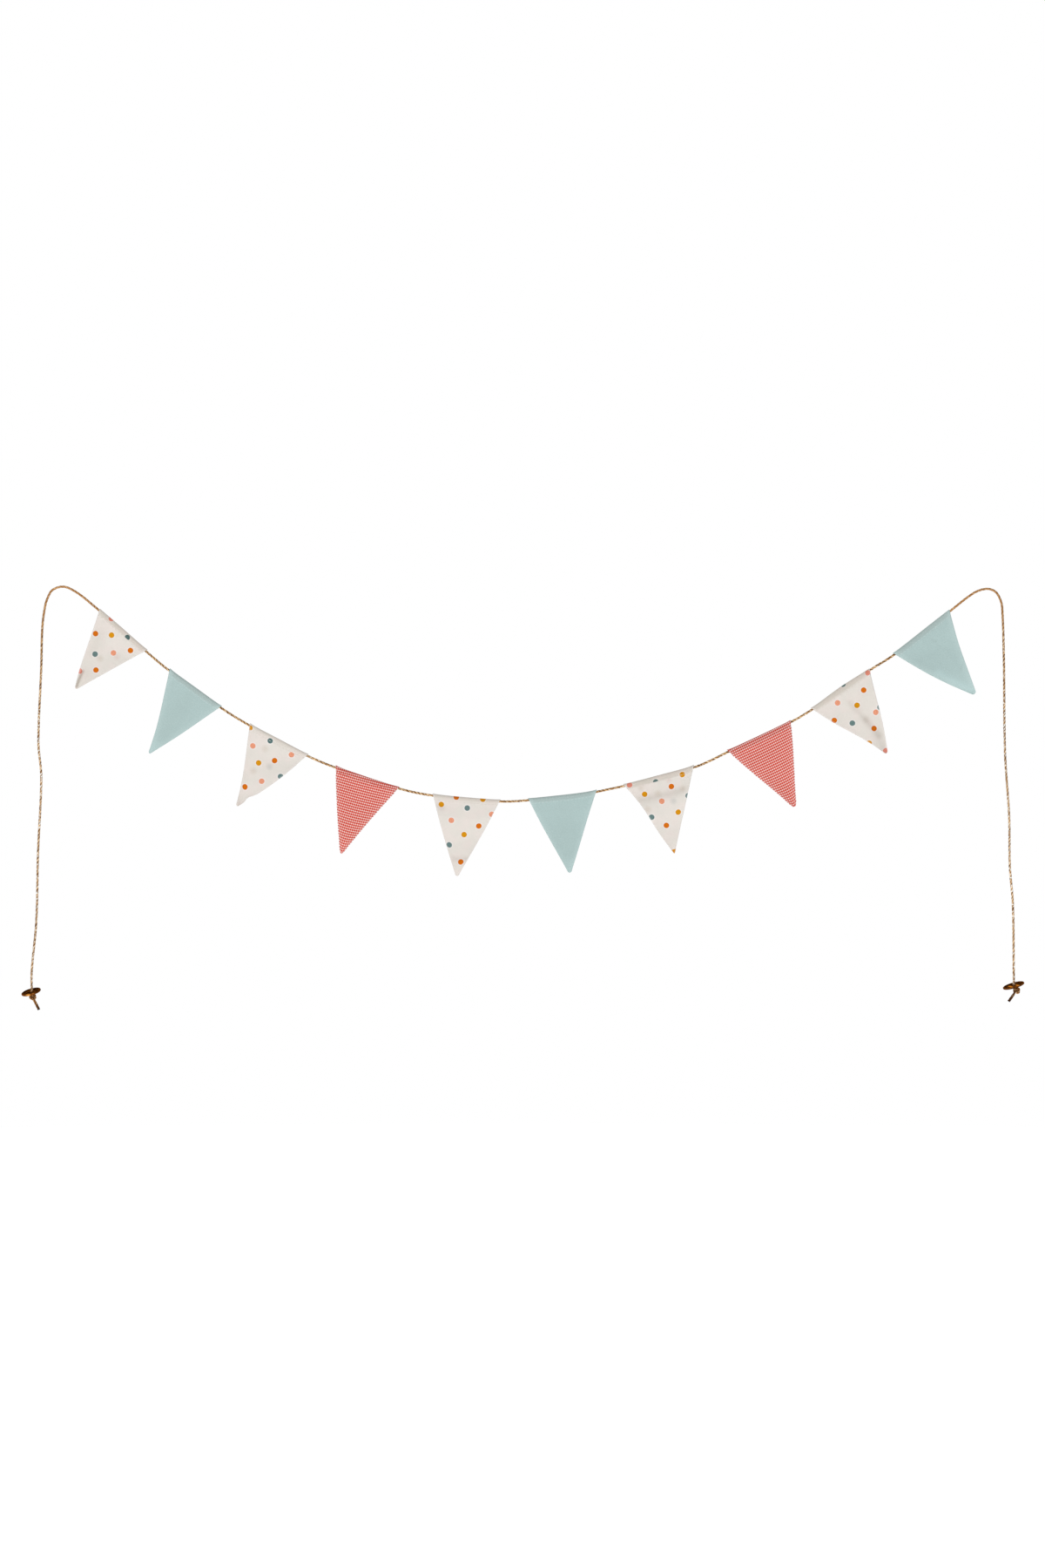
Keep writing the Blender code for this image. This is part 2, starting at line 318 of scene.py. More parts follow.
# %% [markdown]
# ## The cord's route
#
# The route is a list of points in millimetres, left tail to right tail, and a smooth curve runs through
# them: each stretch is a Bezier curve whose handles point along its neighbours. The CAD tube follows the
# same points, so the twisted cord lies in it.

# %% Route
ROUTE = [
    (-17.4, 0.0, -231.3),
    (-17.4, 0.2, -220.0),
    (-14.9, 1.2, -191.0),
    (-13.8, 0.4, -152.0),
    (-11.8, -0.8, -109.0),
    (-13.4, -1.0, -88.6),
    (-11.9, -0.2, -46.0),
    (-11.3, 0.2, -22.6),
    (-9.6, 0.0, -10.1),
    (-7.8, 0.0, -4.8),
    (-5.4, 0.0, -1.2),
    (0.0, 0.0, 0.65),
    (4.9, 0.0, -0.6),
    (13.4, 0.0, -6.3),
    (46.9, 0.0, -35.3),
    (60.4, 0.0, -46.6),
    (90.4, 0.0, -68.3),
    (108.4, 0.0, -79.4),
    (140.4, 0.0, -96.2),
    (157.9, 0.0, -103.5),
    (192.4, 0.0, -114.9),
    (213.9, 0.0, -119.4),
    (250.9, 0.0, -122.6),
    (268.9, 0.0, -121.8),
    (305.9, 0.0, -117.3),
    (362.4, 0.0, -103.2),
    (383.4, 0.0, -93.7),
    (418.9, 0.0, -76.8),
    (431.4, 0.0, -69.4),
    (464.4, 0.0, -46.9),
    (477.9, 0.0, -38.3),
    (509.6, 0.0, -13.6),
    (523.5, 0.0, -3.0),
    (530.7, 0.0, -0.6),
    (535.7, 0.0, -2.1),
    (538.6, 0.0, -6.4),
    (539.8, 0.0, -11.4),
    (540.8, 0.2, -40.0),
    (541.5, 0.4, -95.0),
    (543.7, -0.8, -131.0),
    (544.1, -1.0, -160.0),
    (546.0, 0.4, -182.0),
    (546.5, 0.0, -227.8),
]
ROUTE_STEPS = 12


def smooth_line(points, steps):
    """A smooth curve through the points, with this many steps for each stretch between two of them."""
    line = [points[0]]
    for i in range(len(points) - 1):
        start, end = points[i], points[i + 1]
        before = points[i - 1] if i else start
        after = points[i + 2] if i + 2 < len(points) else end
        reach = (end - start).length
        handle_out = (end - before).normalized() * reach / 3
        handle_in = (after - start).normalized() * reach / 3
        line += interpolate_bezier(start, start + handle_out, end - handle_in, end, steps + 1)[1:]
    return line


cord_path = smooth_line([Vector(place) * MM for place in ROUTE], ROUTE_STEPS)
cord_length = sum((b - a).length for a, b in zip(cord_path, cord_path[1:]))
print("cord length", round(cord_length, 4), "m")

# %% [markdown]
# ## Lurex cord: the finish
#
# The real cord is made of three plies twisted together, and each ply is brown viscose wrapped with thin
# strips of gold film. From a step away that gives a row of slanting light crests and dark valleys, with
# irregular glitter where a strip of film happens to face the light. So the finish is a metal whose colour
# is led by the height of the ply ("ridge"), with painted shade in the valleys and painted highlights on the
# crests, fine streaks that follow the plies, and small pale flecks that are painted glints. The tails are
# painted paler towards their ends, as painted light. The cord's own attributes carry the pattern round the
# bends: "round" is the place on the section and "along" the length in mm.

# %% Measures of the cord's finish
HALF_CORD = cord_length / MM / 2
STREAKS = (5.0, 5.0, 0.7)  # scales of the noises, two across the section and one per mm along the cord
PATCHES = (0.5, 0.5, 0.42)
FLECKS = (1.1, 1.1, 0.9)
BEND_AT = 296.0  # mm of cord from its middle to each bend, where the hook pressed and rubbed the plies
PRESSED_TO = 18.0  # mm of cord from the bend: fully pressed up to here
UNPRESSED_FROM = 42.0  # and not at all from here
PRESSED_SHARE = 0.6  # how much of the brown shows there
PRESSED_BROWN = "#B37F4C"
TAIL_LIGHT_FROM = 200.0  # mm of cord from the end: the tails' painted light begins here
TAIL_LIGHT_FULL = 150.0  # and is whole from here on
TAIL_LIGHT_GAIN = (1.3, 1.48, 1.95)  # the tails are painted paler by this much in red, green and blue: painted light
BURNT_SHARE = 0.97  # how much of the burnt colour shows at the very end
BURNT_BROWN = "#2B0E02"
# the tails' painted light: they are painted paler over this many mm at each end
print("each tail opens up over its last", TAIL_LIGHT_FROM, "mm")


# %% Lurex cord: the twisted film with its painted light and shade, and what time did to it
def film_colour_with_painted_light(tree, along, valley, flank, crest, fleck):
    """Painted shade in the valleys, painted highlights on the crests and painted glints as pale flecks. Also returns
    the fine streaks, for the bump.
    """
    ridge = add_node(tree, "ShaderNodeAttribute", attribute_name="ridge").outputs["Fac"]
    around = add_node(tree, "ShaderNodeAttribute", attribute_name="round").outputs["Vector"]
    section = add_node(tree, "ShaderNodeSeparateXYZ", {0: around}).outputs
    place = feed(tree, "ShaderNodeCombineXYZ", {0: section[0], 1: section[1], 2: along})
    streaks = drawn_noise(tree, place, STREAKS, 2.0)
    patches = drawn_noise(tree, place, PATCHES, 1.0)
    # painted light: the plies' colour follows their height, for painted shade in the valleys and painted highlights on
    # the crests
    height = feed(tree, "ShaderNodeMath", {0: streaks, 1: 0.6, 2: ridge}, operation="MULTIPLY_ADD")
    lit = feed(tree, "ShaderNodeMath", {0: patches, 1: 1.7, 2: height}, operation="MULTIPLY_ADD")
    tone = feed(tree, "ShaderNodeMapRange", {"Value": lit, "From Min": 1.15, "From Max": 2.45})
    stops = ((0.05, valley), (0.5, flank), (0.95, crest))
    plies = feed(tree, "ShaderNodeValToRGB", {0: tone}, stops=stops)
    # painted glints: pale flecks where the film faces the light
    flecks = drawn_noise(tree, place, FLECKS, 0.0)
    spark = feed(
        tree, "ShaderNodeMapRange", {"Value": flecks, "From Min": 0.60, "From Max": 0.68, "To Max": 0.85}
    )
    sparkling = {0: spark, MIX_A: plies, MIX_B: linear(fleck)}
    return add_node(tree, "ShaderNodeMix", sparkling, data_type="RGBA").outputs[MIX_RESULT], streaks


def worn_colour_with_tail_light(tree, along, film, stained, pressed_and_tail_light):
    """The film's colour, plain at the bends, painted paler towards the ends of the tails as painted light, and burnt
    at the cut end.
    """
    from_middle = feed(tree, "ShaderNodeMath", {0: along, 1: HALF_CORD}, operation="SUBTRACT")
    off = feed(tree, "ShaderNodeMath", {0: from_middle}, operation="ABSOLUTE")
    from_bend = feed(tree, "ShaderNodeMath", {0: off, 1: BEND_AT}, operation="SUBTRACT")
    near_bend = feed(tree, "ShaderNodeMath", {0: from_bend}, operation="ABSOLUTE")
    pressing = {
        "Value": near_bend, "From Min": PRESSED_TO, "From Max": UNPRESSED_FROM,
        "To Min": PRESSED_SHARE * pressed_and_tail_light, "To Max": 0.0,
    }
    pressed = feed(tree, "ShaderNodeMapRange", pressing)
    browned = {0: pressed, MIX_A: film, MIX_B: linear(PRESSED_BROWN)}
    plain = add_node(tree, "ShaderNodeMix", browned, data_type="RGBA").outputs[MIX_RESULT]
    tail_lighting = {
        "Value": off, "From Min": HALF_CORD - TAIL_LIGHT_FROM, "From Max": HALF_CORD - TAIL_LIGHT_FULL,
        "To Min": 0.0, "To Max": pressed_and_tail_light,
    }
    tail_light = feed(tree, "ShaderNodeMapRange", tail_lighting)
    # painted light: the tails are painted paler towards their ends
    hanging = add_node(
        tree,
        "ShaderNodeMix",
        {0: tail_light, MIX_A: plain, MIX_B: (*TAIL_LIGHT_GAIN, 1.0)},
        data_type="RGBA",
        blend_type="MULTIPLY",
        clamp_result=True,
    ).outputs[MIX_RESULT]
    to_end = add_node(tree, "ShaderNodeAttribute", attribute_name="to_end").outputs["Fac"]
    burning = {"Value": to_end, "From Min": 0.0, "From Max": stained, "To Min": BURNT_SHARE, "To Max": 0.0}
    burnt = feed(tree, "ShaderNodeMapRange", burning)
    sealed = {0: burnt, MIX_A: hanging, MIX_B: linear(BURNT_BROWN)}
    return add_node(tree, "ShaderNodeMix", sealed, data_type="RGBA").outputs[MIX_RESULT]


print("burnt at the cut ends by", BURNT_SHARE)


# %% Lurex cord material
def lurex_cord(name, colours, metallic, stained, pressed_and_tail_light):
    """Twisted viscose and metal film: half metallic, satin, with painted highlights on the crests of the plies.

    stained: how many mm at the cut end are dark, from the glue or the flame that sealed it. The last
    argument is 1 where the bends over the hooks are pressed plain and brown and the tails are painted paler
    towards their ends, as painted light, and 0 where neither is so.
    """
    material, tree, shader = new_material(name)
    along = add_node(tree, "ShaderNodeAttribute", attribute_name="along").outputs["Fac"]
    film, streaks = film_colour_with_painted_light(tree, along, *colours)
    colour = worn_colour_with_tail_light(tree, along, film, stained, pressed_and_tail_light)
    bump = feed(tree, "ShaderNodeBump", {"Height": streaks, "Strength": 0.6, "Distance": 0.08 * MM})
    tree.links.new(colour, shader.inputs["Base Color"])
    tree.links.new(bump, shader.inputs["Normal"])
    shader.inputs["Metallic"].default_value = metallic
    shader.inputs["Specular IOR Level"].default_value = 0.05
    shader.inputs["Roughness"].default_value = 0.42
    return material


LUREX = ("#3E2310", "#9C6F40", "#E6BE88", "#FBE6C4")  # painted shade in the valley, the flank, painted highlight on the crest, and the painted glint of a fleck
KNOTTED = ("#4A280E", "#8F5C2E", "#C8935C", "#EBC898")  # the same painted shade, highlight and glint, worn and handled, so duller
lurex = lurex_cord("lurex_cord_twisted", LUREX, metallic=0.55, stained=0.01, pressed_and_tail_light=1.0)
knotted = {
    "left": lurex_cord("lurex_cord_sealed_left", KNOTTED, metallic=0.04, stained=6.0, pressed_and_tail_light=0.0),
    "right": lurex_cord("lurex_cord_sealed_right", KNOTTED, metallic=0.04, stained=14.0, pressed_and_tail_light=0.0),
}
print("made", lurex.name)

# %% [markdown]
# ## Twisting the cord
#
# A twisted cord could be three curves wound round each other, but one section with three lobes that turns
# as it goes along the route gives the same outside with a third of the faces. Geometry Nodes do that well:
# the route is resampled to short steps, its tilt grows by one turn for each pitch, and Curve to Mesh sweeps
# the section along it. The same tree makes the knots later, with a smaller section.

# %% Geometry Nodes helpers
SOCKETS = {"float": "NodeSocketFloat", "material": "NodeSocketMaterial", "integer": "NodeSocketInt"}


def new_tree(name, **inputs):
    """An empty Geometry Nodes tree with a geometry input and output and these named inputs."""
    tree = bpy.data.node_groups.new(name, "GeometryNodeTree")
    tree.interface.new_socket("Geometry", in_out="INPUT", socket_type="NodeSocketGeometry")
    for label, kind in inputs.items():
        tree.interface.new_socket(label, in_out="INPUT", socket_type=SOCKETS[kind])
    tree.interface.new_socket("Geometry", in_out="OUTPUT", socket_type="NodeSocketGeometry")
    return tree, tree.nodes.new("NodeGroupInput").outputs


def finish_tree(tree, given, geometry):
    """Give the geometry the tree's material and lead it to the output."""
    dressed = feed(tree, "GeometryNodeSetMaterial", {"Geometry": geometry, "Material": given["Material"]})
    add_node(tree, "NodeGroupOutput", {0: dressed})
    print(tree.name, "tree has", len(tree.nodes), "nodes")


def grow(obj, tree, **values):
    """Put the tree on the object, set its inputs, and return the result as a plain mesh object."""
    modifier = obj.modifiers.new(tree.name, "NODES")
    modifier.node_group = tree
    for socket in tree.interface.items_tree:
        if socket.in_out == "INPUT" and socket.name in values:
            modifier[socket.identifier] = values[socket.name]
    return plain_mesh(obj)


def plain_mesh(obj):
    """Replace the object by its evaluated mesh, with no modifiers left."""
    graph = bpy.context.evaluated_depsgraph_get()
    evaluated = obj.evaluated_get(graph)
    mesh = bpy.data.meshes.new_from_object(evaluated, preserve_all_data_layers=True, depsgraph=graph)
    name = obj.name
    bpy.data.objects.remove(obj)
    mesh.name = name
    return new_object(name, mesh)


def curve_object(name, lines, radii=None):
    """A curve object with one straight-stepped spline for each line of points."""
    curve = bpy.data.curves.new(name, "CURVE")
    curve.dimensions = "3D"
    for line in lines:
        spline = curve.splines.new("POLY")
        spline.points.add(len(line) - 1)
        for k, place in enumerate(line):
            spline.points[k].co = (*place, 1.0)
            spline.points[k].radius = radii[k] if radii else 1.0
    return new_object(name, curve)


print("sockets that a tree may have:", ", ".join(SOCKETS))

# %% Geometry Nodes: a curve with its twist and its lengths
twist, given = new_tree(
    "twist", Step="float", Pitch="float", Crest="float", Valley="float", Material="material"
)
steps = feed(
    twist, "GeometryNodeResampleCurve", {"Curve": given["Geometry"], "Length": given["Step"]}, mode="LENGTH"
)
run = add_node(twist, "GeometryNodeSplineParameter").outputs["Length"]
whole = add_node(twist, "GeometryNodeSplineLength").outputs["Length"]
left_over = feed(twist, "ShaderNodeMath", {0: whole, 1: run}, operation="SUBTRACT")
turns = feed(twist, "ShaderNodeMath", {0: run, 1: given["Pitch"]}, operation="DIVIDE")
tilt = feed(twist, "ShaderNodeMath", {0: turns, 1: 2 * math.pi}, operation="MULTIPLY")
rail = feed(twist, "GeometryNodeSetCurveTilt", {"Curve": steps, "Tilt": tilt})
for label, length in (("along", run), ("to_end", left_over)):
    in_mm = feed(twist, "ShaderNodeMath", {0: length, 1: 1 / MM}, operation="MULTIPLY")
    stored = {"Geometry": rail, "Name": label, "Value": in_mm}
    rail = feed(twist, "GeometryNodeStoreNamedAttribute", stored, domain="POINT")
print("the curve's part has", len(twist.nodes), "nodes")

# %% Geometry Nodes: a section with three plies, swept along the curve
PLIES = 3
PLY_POINTS = 6  # corners of the section for each ply
PLY_POWER = 0.75  # under 1, so that a ply is broad and the valley beside it narrow
VECTOR_VALUE = 3  # the socket where a Store Named Attribute node takes a vector

circle = feed(twist, "GeometryNodeCurvePrimitiveCircle", {"Resolution": PLIES * PLY_POINTS, "Radius": 1.0})
corner = feed(twist, "GeometryNodeInputIndex")
angle = feed(twist, "ShaderNodeMath", {0: corner, 1: math.pi / PLY_POINTS}, operation="MULTIPLY")
wave = feed(twist, "ShaderNodeMath", {0: angle}, operation="COSINE")
lobe = feed(twist, "ShaderNodeMath", {0: wave}, operation="ABSOLUTE")
ridge = feed(twist, "ShaderNodeMath", {0: lobe, 1: PLY_POWER}, operation="POWER")
depth = feed(twist, "ShaderNodeMath", {0: given["Crest"], 1: given["Valley"]}, operation="SUBTRACT")
radius = feed(twist, "ShaderNodeMath", {0: ridge, 1: depth, 2: given["Valley"]}, operation="MULTIPLY_ADD")
at = feed(twist, "GeometryNodeInputPosition")
with_round = feed(
    twist,
    "GeometryNodeStoreNamedAttribute",
    {"Geometry": circle, "Name": "round", VECTOR_VALUE: at},
    data_type="FLOAT_VECTOR",
    domain="POINT",
)
with_ridge = feed(
    twist,
    "GeometryNodeStoreNamedAttribute",
    {"Geometry": with_round, "Name": "ridge", "Value": ridge},
    domain="POINT",
)
scaled = feed(twist, "ShaderNodeVectorMath", {0: at, "Scale": radius}, operation="SCALE")
section = feed(twist, "GeometryNodeSetPosition", {"Geometry": with_ridge, "Position": scaled})
thickness = feed(twist, "GeometryNodeInputRadius")
swept = feed(
    twist,
    "GeometryNodeCurveToMesh",
    {"Curve": rail, "Profile Curve": section, "Scale": thickness, "Fill Caps": True},
)
smooth = feed(twist, "GeometryNodeSetShadeSmooth", {"Geometry": swept})
finish_tree(twist, given, smooth)

# %% The cord
CORD_DIAMETER = 1.3 * MM
CORD_CREST = 0.69 * MM  # radius over a ply. With the valley opposite it, the cord is 1.27 mm across
CORD_VALLEY = 0.58 * MM  # radius between two plies
CORD_PITCH = 6.8 * MM  # length of one whole turn: a crest faces the front every 2.3 mm
CORD_STEP = 0.5 * MM

cord = grow(
    curve_object("twisted_cord", [cord_path]),
    twist,
    Step=CORD_STEP,
    Pitch=CORD_PITCH,
    Crest=CORD_CREST,
    Valley=CORD_VALLEY,
    Material=lurex,
)
print("cord has", len(cord.data.polygons), "faces")

# %% [markdown]
# ## The pennants' shapes
#
# Each pennant is one piece of cloth, cut as a long diamond, folded over the cord and stitched below it. So
# its mesh is one sheet too: it starts at the front tip, goes up the front leaf to the stitch line, round
# the cord, and down the back leaf. A grid does that well, because every column across the cloth follows the
# same path. The outline and the soft waves come from the same tables as the CAD solid, and the creases, the
# humps of the casing and the puckers of the seam are added here, in millimetres.

# %% Tables of the pennants
# left and right: where the edges meet the cord. drop: down to the tip. lean: how far the tip is right of the
# middle. tip: its width. bow, sway: how the edges curve. nip: how far the right edge is drawn in at the tip.
Outline = namedtuple("Outline", "left right drop lean tip bow_left sway_left bow_right sway_right nip")
# cup: how far the side edges come forward. wave: height of the soft undulation, with its number of waves
# down the cloth, its slant across and its start, in turns. curl: how far the tip turns back.
Folds = namedtuple("Folds", "cup wave waves slant start curl")
# tuck: cloth hidden in the seam. slack: room round the cord. hump: how far the casing's middle stands up.
# ear_left and ear_right: how far the casing's open ends are spread. skew: slant of the weft, in degrees.
# dark: how much shade is painted on the double cloth of the casing, where less light comes through, down to foot below
# the cord, fading over soft.
Seam = namedtuple("Seam", "tuck slack hump ear_left ear_right skew dark foot soft")
Pennant = namedtuple("Pennant", "cloth outline folds seam")
PENNANTS = [
    Pennant("dotted", Outline(21.4, 47.9, 42.8, 1.5, 1.4, 0.4, -0.2, 0.1, -0.1, 0.0),
            Folds(0.9, 0.6, 0.9, 0.3, 0.0, 1.9), Seam(1.2, 0.2, 0.1, 0.0, 0.3, 1.0, 1.0, 1.6, 1.0)),
    Pennant("blue", Outline(61.7, 90.7, 45.2, 0.4, 1.4, -0.9, 0.2, 0.5, -0.1, 0.0),
            Folds(0.5, 0.4, 0.6, -0.3, 0.2, 0.6), Seam(0.0, 0.2, 0.2, 0.3, 0.2, -1.5, 1.0, 1.6, 1.0)),
    Pennant("dotted", Outline(107.8, 140.5, 44.2, -3.3, 1.4, -0.8, 0.2, 1.7, 0.0, 1.4),
            Folds(1.1, 0.7, 1.0, 0.4, 0.1, -1.6), Seam(0.0, 0.2, 0.2, 0.3, 0.2, 2.0, 0.75, 1.2, 3.0)),
    Pennant("gingham", Outline(157.3, 193.0, 45.8, -0.6, 1.4, 0.4, 0.0, -0.5, 0.0, 0.0),
            Folds(0.6, 0.5, 0.8, -0.2, 0.3, 0.8), Seam(0.0, 0.1, 0.0, 0.5, 0.1, 3.6, 1.0, 1.6, 1.0)),
    Pennant("dotted", Outline(213.2, 251.1, 44.8, -1.5, 1.8, 0.6, 0.0, 0.5, 0.1, 0.0),
            Folds(0.5, 0.7, 1.1, 0.2, 0.6, 0.7), Seam(0.0, 0.2, 0.1, 0.2, 0.2, -1.0, 0.85, 1.3, 2.2)),
    Pennant("blue", Outline(268.2, 306.6, 44.2, -1.2, 2.0, 0.4, 0.1, -0.1, -0.1, 0.0),
            Folds(0.4, 0.4, 0.7, -0.1, 0.0, 0.5), Seam(0.0, 0.2, 0.1, 0.2, 0.3, 0.5, 1.0, 1.6, 1.0)),
    Pennant("dotted", Outline(323.0, 362.4, 44.8, -2.6, 0.8, -0.6, -0.6, 0.1, 0.0, 0.0),
            Folds(0.5, 0.9, 1.3, 0.1, 0.3, 0.9), Seam(1.6, 0.2, 0.2, 0.2, 0.5, 1.5, 1.0, 1.9, 1.0)),
    Pennant("gingham", Outline(382.9, 418.3, 44.8, 0.9, 2.2, 0.1, 0.2, 0.2, 0.1, 0.0),
            Folds(0.5, 0.5, 0.7, 0.3, 0.5, -0.6), Seam(0.0, 0.1, 0.0, 0.5, 0.2, 0.5, 1.0, 1.8, 1.2)),
    Pennant("dotted", Outline(431.0, 463.8, 44.8, 1.1, 2.0, -0.1, 0.5, 0.5, -0.3, 0.0),
            Folds(0.8, 0.9, 0.8, 0.6, 0.2, 1.0), Seam(0.0, 0.2, 0.6, 0.2, 0.0, -2.0, 1.0, 1.6, 1.4)),
    Pennant("blue", Outline(478.2, 509.7, 46.2, 2.2, 2.2, 1.6, -0.1, -0.8, -0.1, 0.0),
            Folds(0.9, 0.7, 1.0, -0.4, 0.1, 1.1), Seam(0.0, 0.2, 0.1, 0.2, 0.0, 1.0, 1.0, 1.7, 1.6)),
]
# A crease runs from one point to another, in mm across from the casing's middle and down from the cord.
# height: positive for a trough seen from the front, negative for a ridge. dark: how much shade is painted
# along it, negative for painted light; where height is 0 it is painted shade alone.
Crease = namedtuple("Crease", "pennant x down to_x to_down width height dark")
CREASES = [
    Crease(1, -1.9, 32.5, 0.9, 41.5, 0.9, 0.6, 0.30),
    Crease(1, -4.4, 32.0, -0.2, 42.0, 0.8, -0.4, -0.05),
    Crease(1, 0.5, 32.0, 2.0, 41.0, 4.0, 0.0, 0.07),
    Crease(1, -9.0, 10.0, -5.0, 20.0, 4.0, 0.2, 0.06),
    Crease(5, -15.5, 5.0, -13.0, 6.5, 1.6, 0.2, 0.10),
    Crease(5, -4.0, 34.8, 3.5, 34.6, 1.8, 0.3, 0.10),
    Crease(7, -13.0, 9.8, 11.0, 10.6, 2.4, 0.5, 0.10),
    Crease(9, 0.5, 9.0, 2.2, 22.0, 1.8, 0.4, 0.09),
    Crease(9, 2.2, 22.0, 3.6, 34.0, 2.0, 0.5, 0.15),
    Crease(9, 1.0, 34.0, 1.2, 42.0, 4.0, 0.0, 0.06),
    Crease(2, 0.0, 6.0, 0.3, 30.0, 5.0, 0.1, 0.03),
    Crease(2, 0.4, 42.0, 0.4, 45.0, 4.0, 0.0, -0.06),
    Crease(6, 0.0, 8.0, -0.5, 30.0, 7.0, 0.1, 0.02),
    Crease(6, -1.0, 40.0, -1.2, 44.0, 4.0, 0.0, -0.03),
    Crease(10, -7.0, 24.0, 0.5, 42.0, 2.5, -0.2, -0.10),
    Crease(10, 2.0, 6.5, 3.4, 8.5, 0.7, 0.2, 0.05),
    Crease(10, 4.5, 30.0, 7.5, 28.0, 0.5, 0.2, 0.04),
]
print(len(PENNANTS), "pennants,", len(CREASES), "creases")

# %% Measures of the cloth, and where it hangs
CLOTH = 0.22 * MM  # thickness of the cotton
SEAM_APART = 0.26 * MM  # between the middles of the two leaves at the stitches
LEAVES_APART = 0.5 * MM  # and further down
STITCH_DEPTH = 2.1 * MM  # from the cord's middle to the stitch line
LEAVES_OPEN = 9 * MM  # below the stitches, where the leaves have come fully apart
TIP_ROUND = 0.6 * MM  # how much higher the blunt tip ends at its two corners
NIP_AT = 0.85  # share of the drop at which an edge is drawn in
NIP_LENGTH = 0.06  # and how far up and down that reaches
FOLDS_FULL = 0.25  # share of the drop at which the folds have their whole depth
CURL_FROM = 0.7  # share of the drop at which the tip starts to curl
COLUMNS = 44  # of faces across the cloth
ROWS = 60  # of faces down each leaf
CASING_STEPS = 14  # of faces round the cord


def on_cord(line, x):
    """The point of the sagging stretch at this X."""
    for start, end in zip(line, line[1:]):
        if start.x <= x <= end.x:
            return start.lerp(end, (x - start.x) / (end.x - start.x))
    raise ValueError("the sagging stretch doesn't reach this far")


def own_frame(outline):
    """The pennant's own frame: X along its casing, -Y to the front, with the origin on the cord's middle."""
    left, right = on_cord(cord_path, outline.left * MM), on_cord(cord_path, outline.right * MM)
    turn = Euler((0.0, -math.atan2(right.z - left.z, right.x - left.x), 0.0))
    return Matrix.LocRotScale((left + right) / 2, turn, None)


print("two leaves of", CLOTH / MM, "mm cotton")


# %% The shape of a leaf between the cord and the tip
def fold(folds, across, down):
    """How far the cloth stands behind its flat plane. across and down run from 0 to 1."""
    free = min(1.0, down / FOLDS_FULL) ** 2
    edges = (2 * across - 1) ** 2 - 1 / 3
    rolls = folds.waves * down + folds.slant * (across - 0.5) + folds.start
    curl = max(0.0, (down - CURL_FROM) / (1 - CURL_FROM)) ** 2
    depth = folds.wave * math.sin(2 * math.pi * rolls) - folds.cup * edges
    return (free * depth + folds.curl * curl) * MM


def leaves_apart(depth):
    """The distance between the middles of the two leaves, which is least at the stitches."""
    open_up = min(1.0, (depth - STITCH_DEPTH) / LEAVES_OPEN)
    return SEAM_APART + (LEAVES_APART - SEAM_APART) * open_up


def edge_shift(outline, across, down):
    """How far the cloth is moved to the right by its bowed and drawn-in edges."""
    once, twice = math.sin(math.pi * down), math.sin(2 * math.pi * down)
    nip = outline.nip * math.exp(-(((down - NIP_AT) / NIP_LENGTH) ** 2))
    right = outline.bow_right * once + outline.sway_right * twice - nip
    left = outline.bow_left * once + outline.sway_left * twice
    return (across * right - (1 - across) * left) * MM


def cloth_point(pennant, cord_point, across, depth, behind):
    """A point of the cloth in the pennant's own frame: across from 0 to 1, depth down from the cord."""
    outline = pennant.outline
    drop = outline.drop * MM
    down = max(0.0, depth / drop)
    tip_x = (outline.lean + (across - 0.5) * outline.tip) * MM
    tip_z = -drop + TIP_ROUND * (2 * across - 1) ** 2
    x = cord_point.x + (tip_x - cord_point.x) * depth / drop + edge_shift(outline, across, down)
    z = cord_point.z - depth if depth <= 0 else cord_point.z * (1 - down) + tip_z * down
    return Vector((x, behind + fold(pennant.folds, across, down), z))


print("the leaves are", LEAVES_APART / MM, "mm apart where they hang free")

# %% Creases, puckers and the loose cloth's own unevenness
Waves = namedtuple("Waves", "height across down seed")  # in mm; the seed's step from pennant to pennant
SLOW_WAVES = Waves(0.30, 9.0, 11.0, 3.7)
SMALL_WAVES = Waves(0.07, 2.6, 3.2, 5.1)
FREE_BELOW = 6.0  # mm below the stitches at which the cloth waves freely
PUCKER_HEIGHT = 0.10  # mm
PUCKER_LENGTH = 4.1
PUCKER_FADE = 2.2  # mm above and below the stitches


def creased(creases, x, down):
    """What the creases do at a point in mm across and down: how far behind it stands, and how much shade is painted
    there, negative for painted light.
    """
    behind, dull = 0.0, 0.0
    for crease in creases:
        start = Vector((crease.x, crease.down))
        way = Vector((crease.to_x, crease.to_down)) - start
        share = (Vector((x, down)) - start).dot(way) / way.length_squared
        nearest = start + way * min(1.0, max(0.0, share))
        near = math.exp(-(((Vector((x, down)) - nearest).length / crease.width) ** 2))
        behind += crease.height * near
        dull += crease.dark * near
    return behind, dull


def unevenness(number, x, down):
    """Slow random waves of cloth that was never ironed quite flat, and small puckers below the stitches."""
    below = down - STITCH_DEPTH / MM
    free = min(1.0, max(0.0, below) / FREE_BELOW)
    waves = sum(
        w.height * noise.noise(Vector((x / w.across, down / w.down, w.seed * number)))
        for w in (SLOW_WAVES, SMALL_WAVES)
    )
    ripple = math.sin(2 * math.pi * x / PUCKER_LENGTH + number)
    return free * waves + PUCKER_HEIGHT * ripple * math.exp(-abs(below) / PUCKER_FADE)


print("pucker at a stitch:", round(unevenness(1, 1.0, STITCH_DEPTH / MM), 3), "mm")

# %% The path of one column of cloth, from the front tip to the back tip
CASING_RAMP = (0.33, 0.67)  # shares of the way between the stitches and the round of the casing
Station = namedtuple("Station", "depth behind print_at leaf")  # print_at: where the print is, in mm


